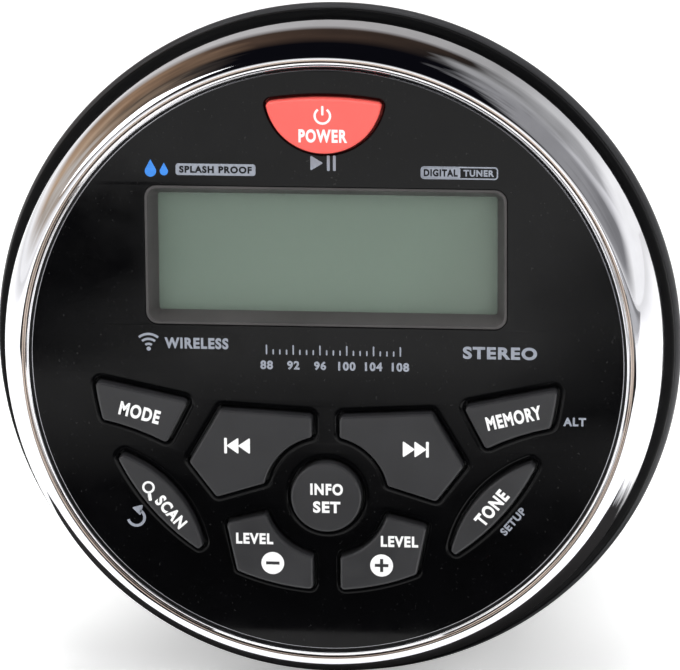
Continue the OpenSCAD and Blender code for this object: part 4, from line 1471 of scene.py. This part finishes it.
    def print_face_grey(self) -> None:
        """Prints the grey signs and words on the face, with a tuning scale of plain numbers."""
        y = self.face_y
        tuner_x, tuner_z = self.tuner_pill
        shell = Shell()
        self.sign(shell, shaped([(-2.1, 29.15, 0.12), (-0.2, 30.3, 0.12), (-2.1, 31.45, 0.12)]), y)
        for x in (0.56, 1.45):
            self.sign(shell, self.bar(0.42, 2.3, (x, 30.3)), y)
        self.sign(shell, rounded_box(11.9, 1.75, 0.4, self.splash_pill), y)
        self.pill(shell, self.tuner_pill, 11.4, 1.9, 0.2)
        self.sign(shell, rounded_box(5.7, 1.6, 0.3, (tuner_x - 2.7, tuner_z)), y)
        self.word(shell, Word("TUNER", 1.0, (tuner_x + 2.85, tuner_z), 4.5), y)
        for radius in (0.75, 1.5, 2.25):
            self.sign(shell, self.bend(self.waves_at, radius, 50, 130, 0.36), y)
        self.sign(shell, circle(0.32, self.waves_at, 24), y)
        self.word(shell, Word("WIRELESS", 1.7, (-19.4, 2.7), 9.6), y)
        self.word(shell, Word("STEREO", 1.9, (25.9, 2.0), 11.0), y)
        self.print_scale(shell)
        self.word(shell, Word("SETUP", 1.25, (27.9, -23.75), turn=50.0), y)
        self.word(shell, Word("ALT", 1.3, (37.0, -8.25)), y)
        self.sign(shell, self.bend((-28.9, -24.4), 1.25, -165, 60, 0.42), y)
        tip = shaped([(-1.0, -0.7, 0.08), (0.76, -0.7, 0.08), (-0.12, 0.85, 0.08)])
        self.sign(shell, self.placed(tip, (-28.7, -22.95), 75.0), y)
        shell.piece("face_grey_print", HOUSING, GREY_INK)

    def print_scale(self, shell: Shell) -> None:
        """Prints the tuning scale, with a number under each long line.

        Args:
            shell: The print that takes it.
        """
        numbers = ("88", "92", "96", "100", "104", "108")
        left, pitch, lines = -8.9, 1.0, 4
        for i in range(lines * (len(numbers) - 1) + 1):
            tall = 1.5 if i % lines == 0 else 0.8
            self.sign(shell, self.bar(0.22, tall, (left + i * pitch, 1.2 + tall / 2)), self.face_y)
        for i, number in enumerate(numbers):
            self.word(shell, Word(number, 1.35, (left + i * lines * pitch, -0.4)), self.face_y)

    def print_face_blue(self) -> None:
        """Prints two blue drops beside the splash pill."""
        shell = Shell()
        for x, size in ((-25.9, 0.85), (-23.9, 0.62)):
            drop = [*(p[:2] for p in arc(MIDDLE, size, 150, 390, 24)), (0.0, size * 2.1)]
            self.sign(shell, self.placed(drop, (x, 28.75)), self.face_y)
        shell.piece("face_blue_print", HOUSING, BLUE_INK)


@dataclass
class RearCover:
    """The cast rear cover with its fins, its seal and its screws."""

    radius: float = 37.18
    front_y: float = 51.02
    back_y: float = 55.0
    edge: float = 0.6
    fin_count: int = 9
    fin_t: float = 1.58
    fin_tip_t: float = 1.1
    fin_pitch: float = 4.4
    fin_z: float = -2.0
    fin_reach: float = 35.7
    fin_y: float = 62.98
    screw_at: float = 22.77
    screw_head_r: float = 2.78
    screw_head_y: float = 56.98
    screw_r: float = 1.5
    screw_tip_y: float = 39.6
    screw_tip: Point = (0.4, 0.5)
    screw_round: float = 0.6
    screw_steps: int = 48
    socket_r: float = 1.45
    socket_rim: float = 0.35
    socket_bevel: float = 0.12
    socket_d: float = 1.0
    hole_gap: float = 0.05
    sunk: float = 0.2
    pad: Point = (46.0, 20.0)
    pad_z: float = 6.0
    pad_y: float = 47.02
    pad_corner: float = 0.8
    seal_in: float = 35.3
    seal_y: float = 50.02
    seal_gap: float = 0.02
    seal_bevel: Point = (0.15, 0.3)

    def build(self, glands: "CableGlands") -> None:
        """Builds the cover with its openings, the fins, the seal and the screws.

        Args:
            glands: The glands that pass through the cover.
        """
        shell = Shell()
        front = shell.loop(circle(self.radius), self.front_y)
        rim = [shell.loop(circle(r), y) for r, y in quarter(
            (self.radius, self.back_y - self.edge), (self.radius - self.edge, self.back_y),
            6, bulge=False)]
        for a, b in zip([front, *rim], rim):
            shell.join(a, b)
        fronts, backs = [], []
        for _, spot, bore in glands.places:
            hole = circle(bore + glands.wall + self.hole_gap, spot, 48)
            fronts.append(shell.loop(hole, self.front_y))
            backs.append(shell.loop(hole, self.back_y))
            shell.join(fronts[-1], backs[-1])
        shell.fill(front, *fronts)
        shell.fill(rim[-1], *backs)
        for i in range(self.fin_count):
            self.fin(shell, (i - (self.fin_count - 1) / 2) * self.fin_pitch)
        pad = rounded_box(*self.pad, self.pad_corner, (0.0, self.pad_z))
        shell.loft([shell.loop(pad, y) for y in (self.pad_y, self.front_y + self.sunk)])
        shell.piece("rear_finned_cover", HOUSING, COVER, ["rear_heatsink"])
        self.build_seal()
        self.build_screws()

    def build_seal(self) -> None:
        """Turns the seal between the cover and the barrel."""
        bevel_w, bevel_d = self.seal_bevel
        end_y = self.front_y - self.seal_gap
        seal = Shell()
        seal.turn([(self.seal_in, self.seal_y), (self.radius - bevel_w, self.seal_y),
                   (self.radius, self.seal_y + bevel_d), (self.radius, end_y - bevel_d),
                   (self.radius - bevel_w, end_y), (self.seal_in, end_y)])
        seal.piece("rear_seal_ring", HOUSING, SEAL, ["rear_seal"])

    def fin(self, shell: Shell, x: float) -> None:
        """Builds one tapering fin with a rounded crest.

        Args:
            shell: The cover's skin.
            x: Where the fin stands.
        """
        top = math.sqrt(self.fin_reach ** 2 - (abs(x) + self.fin_t / 2) ** 2)
        middle, length = (x, (top + self.fin_z) / 2), top - self.fin_z
        crest, draft = self.fin_tip_t / 2, 0.25
        steps = [(self.fin_t / 2, 0.0, self.back_y - self.sunk), (crest, draft, self.fin_y - crest)]
        steps += [(half, draft + crest - half, y) for half, y in quarter(
            (crest, self.fin_y - crest), (crest * 0.2, self.fin_y), 5, bulge=False)[1:]]
        shell.loft([shell.loop(rounded_box(2 * half, length - 2 * inset, half * 0.9, middle), y)
                    for half, inset, y in steps])

    def build_screws(self) -> None:
        """Builds the four socket screws as one piece."""
        shell = Shell()
        head_r, head_y, steps = self.screw_head_r, self.screw_head_y, self.screw_steps
        crown = quarter((head_r, head_y - self.screw_round), (head_r - self.screw_round, head_y),
                        5, bulge=False)
        round_part = [(self.screw_r - self.screw_tip[0], self.screw_tip_y),
                      (self.screw_r, self.screw_tip_y + self.screw_tip[1]),
                      (self.screw_r, self.back_y), (head_r, self.back_y), *crown,
                      (self.socket_r + self.socket_rim, head_y)]
        socket = [(self.socket_r + self.socket_bevel, head_y),
                  (self.socket_r, head_y - self.socket_bevel), (self.socket_r, head_y - self.socket_d)]
        for sx, sz in ((-1, -1), (1, -1), (1, 1), (-1, 1)):
            spot = (sx * self.screw_at, sz * self.screw_at)
            rings = [shell.loop(circle(r, spot, steps), y) for r, y in round_part]
            for size, y in socket:
                rings.append(shell.loop(polar(lambda a, size=size: hexagon(size, a), spot, steps), y))
            shell.loft(rings)
        shell.piece("rear_socket_screws", HOUSING, STEEL, ["rear_screws"], 30.0)


@dataclass
class CableGlands:
    """Three rubber glands with ribbed boots."""

    wall: float = 1.8
    collar_w: float = 2.2
    inner_y: float = 49.02
    plate_y: float = 51.0
    back_y: float = 55.0
    collar_y: float = 57.0
    tip_y: float = 63.98
    tip_wall: float = 1.0
    tip_edge: float = 0.3
    edge: float = 0.6
    ribs: int = 3
    rib_groove: float = 0.4
    rib_start: float = 0.5
    rib_end: float = 0.7
    seat_gap: float = 0.02
    steps: int = 72
    places: tuple[tuple[str, Point, float], ...] = (
        ("power_gland", (-9.0, -21.5), 3.5), ("signal_gland", (9.5, -22.0), 2.75),
        ("aerial_gland", (24.0, -10.0), 1.75))

    def boot(self, bore: float) -> list[Point]:
        """Draws the ribbed boot of a gland.

        Args:
            bore: The radius of its bore.

        Returns:
            The profile from the collar to the last rib.
        """
        neck, tip, groove = bore + self.wall, bore + self.tip_wall, self.rib_groove
        length = self.tip_y - self.collar_y
        pitch = (length - self.rib_start - self.rib_end) / self.ribs
        profile = [(neck, self.collar_y)]
        for i in range(self.ribs):
            start = self.collar_y + self.rib_start + i * pitch
            for share, inset in ((0.0, 0.0), (0.12, groove), (0.45, groove), (0.57, 0.0)):
                y = start + share * pitch
                profile.append((neck + (tip - neck) * (y - self.collar_y) / length - inset, y))
        return profile

    def build(self) -> None:
        """Turns each gland as one closed profile."""
        for name, spot, bore in self.places:
            neck, tip, edge = bore + self.wall, bore + self.tip_wall, self.tip_edge
            collar = neck + self.collar_w
            shoulder = collar - self.edge
            rim = quarter((collar, self.collar_y - self.edge), (shoulder, self.collar_y), 5, False)
            end = quarter((tip, self.tip_y - edge), (tip - 0.35, self.tip_y), 4, False)
            shell = Shell()
            shell.turn([(bore, self.inner_y), (shoulder, self.inner_y), (shoulder, self.plate_y),
                        (neck, self.plate_y), (neck, self.back_y), (collar, self.back_y + self.seat_gap),
                        *rim, *self.boot(bore), *end,
                        (bore + edge, self.tip_y), (bore, self.tip_y - edge)], self.steps, spot)
            shell.piece(f"{name}_boot", HOUSING, GLAND, [name])


@dataclass
class MountingStuds:
    """Two studs with a hex shoulder and a cut thread."""

    at: Point = (29.0, 4.0)
    root_r: float = 2.0
    root_y: float = 52.05
    back_y: float = 55.0
    shoulder_r: float = 4.98
    shoulder_y: float = 58.0
    radius: float = 2.48
    tip_y: float = 82.98
    pitch: float = 0.8
    thread: float = 0.42
    crest: float = 1.25
    start: float = 0.4
    runout: float = 1.2
    tip_bevel: float = 0.7
    turn_rings: int = 7
    steps: int = 48

    def thread_r(self, angle: float, y: float) -> float:
        """Gives the shank's radius at an angle and a depth.

        Args:
            angle: The angle in radians.
            y: The depth.

        Returns:
            The radius, lower in the thread's groove and at the tip.
        """
        phase = ((y / self.pitch) - angle / (2 * math.pi)) % 1.0
        groove = self.thread * (1 - abs(2 * phase - 1) * self.crest)
        fade = min(max((y - self.shoulder_y - self.start) / self.runout, 0.0), 1.0)
        tip = max(0.0, self.tip_bevel - (self.tip_y - y))
        return min(self.radius - max(groove, 0.0) * fade, self.radius - tip)

    def build(self) -> None:
        """Builds both studs as one piece."""
        shell = Shell()
        steps = self.steps
        for side in Side:
            spot = (self.at[0] * side.value, self.at[1])
            rings = [shell.loop(circle(self.root_r, spot, steps), y) for y in (self.root_y, self.back_y)]
            for bevel, y in ((0.5, self.back_y), (0.0, self.back_y + 0.3), (0.0, self.shoulder_y - 0.4),
                             (0.6, self.shoulder_y)):
                limit = self.shoulder_r - bevel
                rings.append(shell.loop(polar(
                    lambda a, limit=limit: min(hexagon(self.shoulder_r, a), limit), spot, steps), y))
            count = round((self.tip_y - self.shoulder_y) / self.pitch * self.turn_rings)
            for i in range(count + 1):
                y = self.shoulder_y + (self.tip_y - self.shoulder_y) * i / count
                rings.append(shell.loop(polar(lambda a, y=y: self.thread_r(a, y), spot, steps), y))
            shell.loft(rings)
        shell.piece("threaded_mounting_studs", HOUSING, STUD, ["mounting_studs"], 32.0)


class InnerParts:
    """The CAD nodes that keep their own shape."""

    def dress(self) -> None:
        """Gives each node its finish."""
        for finish, names in INNER_FINISHES.items():
            for name in names:
                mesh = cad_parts[name].data
                mesh.materials.clear()
                mesh.materials.append(finish.material())
                LOG.info("%s keeps its shape and takes %s", name, finish.name)


@dataclass(frozen=True)
class Lamp:
    """A square soft lamp: its place, its side, its power in watts and whether mirrors show it."""

    name: str
    place: Spot
    side: float
    power: float
    mirrored: bool = False


@dataclass(frozen=True)
class Card:
    """A paper card on the floor that only mirrors show, thinned out along a way from start to end; the
    dark one under the unit paints the unit's shadow into the mirrors.
    """

    name: str
    rgb: Rgb
    corners: tuple[Point, ...]
    way: Point
    start: float
    end: float
    ragged: float

    def paper(self) -> bpy.types.Material:
        """Makes the card's paper, whose thin edge wanders.

        Returns:
            The material.
        """
        recipe = Recipe(f"{self.name}_paper")
        recipe.set(Base_Color=linear(self.rgb), Roughness=0.9, Specular_IOR_Level=0.0)
        along = recipe.node("VectorMath")
        along.operation = "DOT_PRODUCT"
        along.inputs[1].default_value = (*self.way, 0.0)
        recipe.link(recipe.node("NewGeometry").outputs["Position"], along.inputs[0])
        stray = recipe.span(recipe.cloud(3 * self.ragged), -self.ragged * MM, self.ragged * MM)
        wander = recipe.math("ADD", along.outputs["Value"], stray)
        recipe.feed(recipe.span(wander, 1.0, 0.0, self.start * MM, self.end * MM), "Alpha")
        return recipe.material


LAMPS = (
    Lamp("left_lamp", (-620, -560, 460), 480, 1.5, mirrored=True),
    Lamp("right_lamp", (560, -700, 420), 380, 2.6),
    Lamp("top_lamp", (0, -100, 860), 520, 5.4),
)
CARDS = (
    # Painted shadow: a dark card under the unit stands in, in the mirrors, for the shade of the floor
    # below it.
    Card("under_unit_shadow_card", (46, 45, 45),
         ((-36, 140), (-36, 32), (-46, 30), (-72, 24), (-86, 8), (-77, -8), (-50, -17), (-30, -18),
          (0, -18), (28, -19), (46, -20), (72, -14), (92, 0), (120, 30), (120, 140)),
         way=(0.96, 0.275), start=74, end=92, ragged=10.0),
    Card("near_card", (6, 6, 6), ((-120, -300), (66, -300), (24, -50), (-38, -50)),
         way=(0.2, -1.0), start=110, end=240, ragged=30.0),
    Card("left_dim_card", (6, 6, 6), ((-170, -400), (-40, -400), (-40, -220), (-170, -220)),
         way=(1.0, 0.0), start=-82, end=-50, ragged=12.0),
    Card("right_dim_card", (6, 6, 6), ((10, -350), (120, -350), (120, -180), (10, -180)),
         way=(-1.0, 0.0), start=-40, end=-14, ragged=14.0),
    Card("right_far_card", (160, 160, 162),
         ((60, -230), (500, -180), (1900, 60), (1900, -1900), (350, -1900)),
         way=(-0.15, 0.99), start=-340, end=-225, ragged=20.0),
)
TENT_BEFORE: tuple[tuple[float, Rgb], ...] = (
    (0.0, (206, 202, 196)), (0.1, (150, 130, 110)), (0.2, (60, 54, 50)), (0.3, (12, 12, 17)),
    (0.68, (10, 10, 15)), (0.76, (150, 150, 152)), (0.92, (148, 148, 150)), (1.0, (128, 128, 130)))
TENT_BEHIND: tuple[tuple[float, Rgb], ...] = (
    (0.0, (214, 210, 206)), (0.08, (196, 170, 144)), (0.2, (150, 122, 98)), (0.34, (78, 62, 52)),
    (0.65, (40, 34, 31)), (0.71, (146, 146, 146)), (0.79, (174, 174, 175)), (0.85, (236, 236, 238)))


@dataclass
class Studio:
    """The plain floor, the soft lamps, the cards and tent that the plating mirrors, and the camera."""

    target: Spot = (2.11, -17.0, 4.36)
    distance: float = 695.6
    azimuth: float = 6.2
    elevation: float = 13.3
    roll: float = -0.4
    lens: float = 248.2
    sensor: float = 36.0
    floor_z: float = -52.0
    floor_half: float = 6000.0
    floor_rgb: Rgb = (248, 248, 248)
    soft_level: float = 0.55
    floor_lift: float = 0.32
    lamp_target: Spot = (0.0, -10.0, 0.0)
    card_lift: float = 0.1
    tent_r: float = 2000.0
    tent_tiers: int = 18
    tent_steps: int = 48

    def build(self) -> None:
        """Sets the stage."""
        self.lay_floor()
        self.light_world()
        for lamp in LAMPS:
            self.hang_lamp(lamp)
        self.hang_tent()
        for i, card in enumerate(CARDS, start=1):
            height = self.floor_z + self.card_lift * i
            self.only_mirrored(self.sheet(card.name, card.corners, height, card.paper()))
        self.set_camera()

    def sheet(self, name: str, corners: Sequence[Point], z: float,
              material: bpy.types.Material) -> bpy.types.Object:
        """Lays a flat sheet of the stage.

        Args:
            name: Its name.
            corners: Its corners in x and y, in millimetres.
            z: Its height in millimetres.
            material: Its material.

        Returns:
            The sheet.
        """
        shell = Shell()
        shell.put(shell.ring((x, y, z) for x, y in corners), True)
        return self.staged(name, shell, material)

    def staged(self, name: str, shell: Shell, material: bpy.types.Material) -> bpy.types.Object:
        """Makes a thing of the stage, which is no part of the object.

        Args:
            name: Its name.
            shell: Its skin.
            material: Its material.

        Returns:
            The new object.
        """
        mesh = shell.mesh(name)
        mesh.materials.append(material)
        made = bpy.data.objects.new(name, mesh)
        bpy.context.scene.collection.objects.link(made)
        return made

    def lay_floor(self) -> None:
        """Lays the pale floor under the gasket's lowest edge."""
        recipe = Recipe("floor_white")
        recipe.set(Base_Color=linear(self.floor_rgb), Roughness=0.9, Specular_IOR_Level=0.0,
                   Emission_Color=WHITE)
        lift = recipe.math("MULTIPLY", self.seen_directly(recipe.tree), self.floor_lift)
        recipe.feed(lift, "Emission Strength")
        half = self.floor_half
        self.sheet("floor", [(-half, -half), (half, -half), (half, half), (-half, half)], self.floor_z,
                   recipe.material)

    def seen_directly(self, tree: bpy.types.NodeTree) -> Socket:
        """Tells the camera's rays, and those in mirrors and glass, from the rest.

        Args:
            tree: The node tree that needs to know.

        Returns:
            The output that is one for such rays.
        """
        path = tree.nodes.new("ShaderNodeLightPath")
        seen = path.outputs["Is Camera Ray"]
        for name in ("Is Glossy Ray", "Is Transmission Ray"):
            either = tree.nodes.new("ShaderNodeMath")
            either.operation = "MAXIMUM"
            tree.links.new(seen, either.inputs[0])
            tree.links.new(path.outputs[name], either.inputs[1])
            seen = either.outputs[0]
        return seen

    def light_world(self) -> None:
        """Lights the room softly and shows it white to the camera and in mirrors."""
        world = bpy.data.worlds.new("room")
        world.use_nodes = True
        bpy.context.scene.world = world
        tree = world.node_tree
        soft, white = tree.nodes["Background"], tree.nodes.new("ShaderNodeBackground")
        for background, level in ((soft, self.soft_level), (white, 1.0)):
            background.inputs["Color"].default_value = WHITE
            background.inputs["Strength"].default_value = level
        mix = tree.nodes.new("ShaderNodeMixShader")
        tree.links.new(self.seen_directly(tree), mix.inputs[0])
        tree.links.new(soft.outputs[0], mix.inputs[1])
        tree.links.new(white.outputs[0], mix.inputs[2])
        tree.links.new(mix.outputs[0], tree.nodes["World Output"].inputs["Surface"])

    def aim(self, thing: bpy.types.Object, place: Spot, target: Spot, roll: float = 0.0) -> None:
        """Puts a lamp or the camera in its place and points its minus z axis at a target.

        Args:
            thing: The object.
            place: Where it stands.
            target: What it points at.
            roll: Its turn about its own axis in degrees.
        """
        start, end = Vector(place) * MM, Vector(target) * MM
        turn = (end - start).to_track_quat("-Z", "Y").to_matrix()
        turn = turn @ Matrix.Rotation(math.radians(roll), 3, "Z")
        thing.matrix_world = Matrix.Translation(start) @ turn.to_4x4()

    def hang_lamp(self, lamp: Lamp) -> None:
        """Hangs a lamp and points it at the unit.

        Args:
            lamp: The lamp.
        """
        light = bpy.data.lights.new(lamp.name, "AREA")
        light.size = lamp.side * MM
        light.energy = lamp.power
        made = bpy.data.objects.new(lamp.name, light)
        bpy.context.scene.collection.objects.link(made)
        made.visible_glossy = lamp.mirrored
        self.aim(made, lamp.place, self.lamp_target)

    def only_mirrored(self, thing: bpy.types.Object) -> None:
        """Lets only mirrors show a thing of the stage, and takes its shadow away.

        Args:
            thing: The card or the tent.
        """
        thing.visible_camera = False
        thing.visible_diffuse = False
        thing.visible_transmission = False
        thing.visible_shadow = False

    def hang_tent(self) -> None:
        """Hangs a dim tent over the stage, which gives the plating something to mirror."""
        shell = Shell()
        rings = []
        for i in range(self.tent_tiers + 1):
            rise = math.radians(90 * i / self.tent_tiers)
            outline = circle(self.tent_r * math.cos(rise), steps=self.tent_steps)
            rings.append(shell.ring((x, y, self.tent_r * math.sin(rise)) for x, y in outline))
        for a, b in zip(rings, rings[1:]):
            shell.join(a, b)
        self.only_mirrored(self.staged("tent", shell, self.tent_cloth()))

    def tent_cloth(self) -> bpy.types.Material:
        """Makes the tent's cloth: dark in front and above, grey to the right, tan to the left.

        Returns:
            The material.
        """
        recipe = Recipe("tent_cloth")
        recipe.set(Base_Color=BLACK, Specular_IOR_Level=0.0, Emission_Strength=1.0)
        away = recipe.node("VectorMath")
        away.operation = "NORMALIZE"
        recipe.link(recipe.node("NewGeometry").outputs["Position"], away.inputs[0])
        fold = recipe.node("TexNoise", Scale=2.2, Detail=3.0)
        recipe.link(away.outputs[0], fold.inputs["Vector"])
        axes = recipe.axes(away.outputs[0])
        ripple = recipe.math("ADD", axes["X"], recipe.span(fold.outputs[0], -0.16, 0.16))
        across = recipe.span(ripple, 0.0, 1.0, -1.0, 1.0)
        before, behind = (recipe.tint(across, [(place, linear(rgb)) for place, rgb in stops])
                          for stops in (TENT_BEFORE, TENT_BEHIND))
        rear = recipe.span(axes["Y"], 0.0, 1.0, 0.3, 0.62)
        recipe.feed(recipe.blend(rear, before, behind), "Emission Color")
        right = recipe.math("MAXIMUM", axes["X"], 0.0)
        slope = recipe.math("MULTIPLY", right, recipe.span(axes["Y"], 0.22, -0.22, -1.0, 1.0))
        hem = recipe.span(recipe.math("ADD", axes["Z"], slope), 0.0, 1.0, 0.05, 0.2)
        thin = recipe.span(axes["Y"], 1.0, 0.2, 0.8, 0.94)
        recipe.feed(recipe.math("MULTIPLY", hem, thin), "Alpha")
        return recipe.material

    def set_camera(self) -> None:
        """Sets the camera at the photograph's angle."""
        az, el = math.radians(self.azimuth), math.radians(self.elevation)
        away = Vector((math.sin(az) * math.cos(el), -math.cos(az) * math.cos(el), math.sin(el)))
        place = Vector(self.target) + away * self.distance
        camera = bpy.data.cameras.new("camera")
        camera.lens = self.lens
        camera.sensor_width = self.sensor
        camera.sensor_fit = "HORIZONTAL"
        camera.clip_start = 0.01
        made = bpy.data.objects.new("camera", camera)
        bpy.context.scene.collection.objects.link(made)
        self.aim(made, tuple(place), self.target, self.roll)
        bpy.context.scene.camera = made


def main() -> None:
    """Builds the unit from the back of the panel to the front, then the stage."""
    logging.basicConfig(level=logging.INFO, format="%(name)s: %(message)s")
    bpy.context.scene.view_settings.view_transform = "Standard"
    keypad = Keypad()
    keypad.lay_out()
    glands = CableGlands()
    MountingRing().build()
    Bezel().build()
    FacePanel().build(keypad)
    DisplayWindow().build()
    keypad.build()
    Markings().build()
    RearCover().build(glands)
    glands.build()
    MountingStuds().build()
    InnerParts().dress()
    Studio().build()


if __name__ == "__main__":
    main()
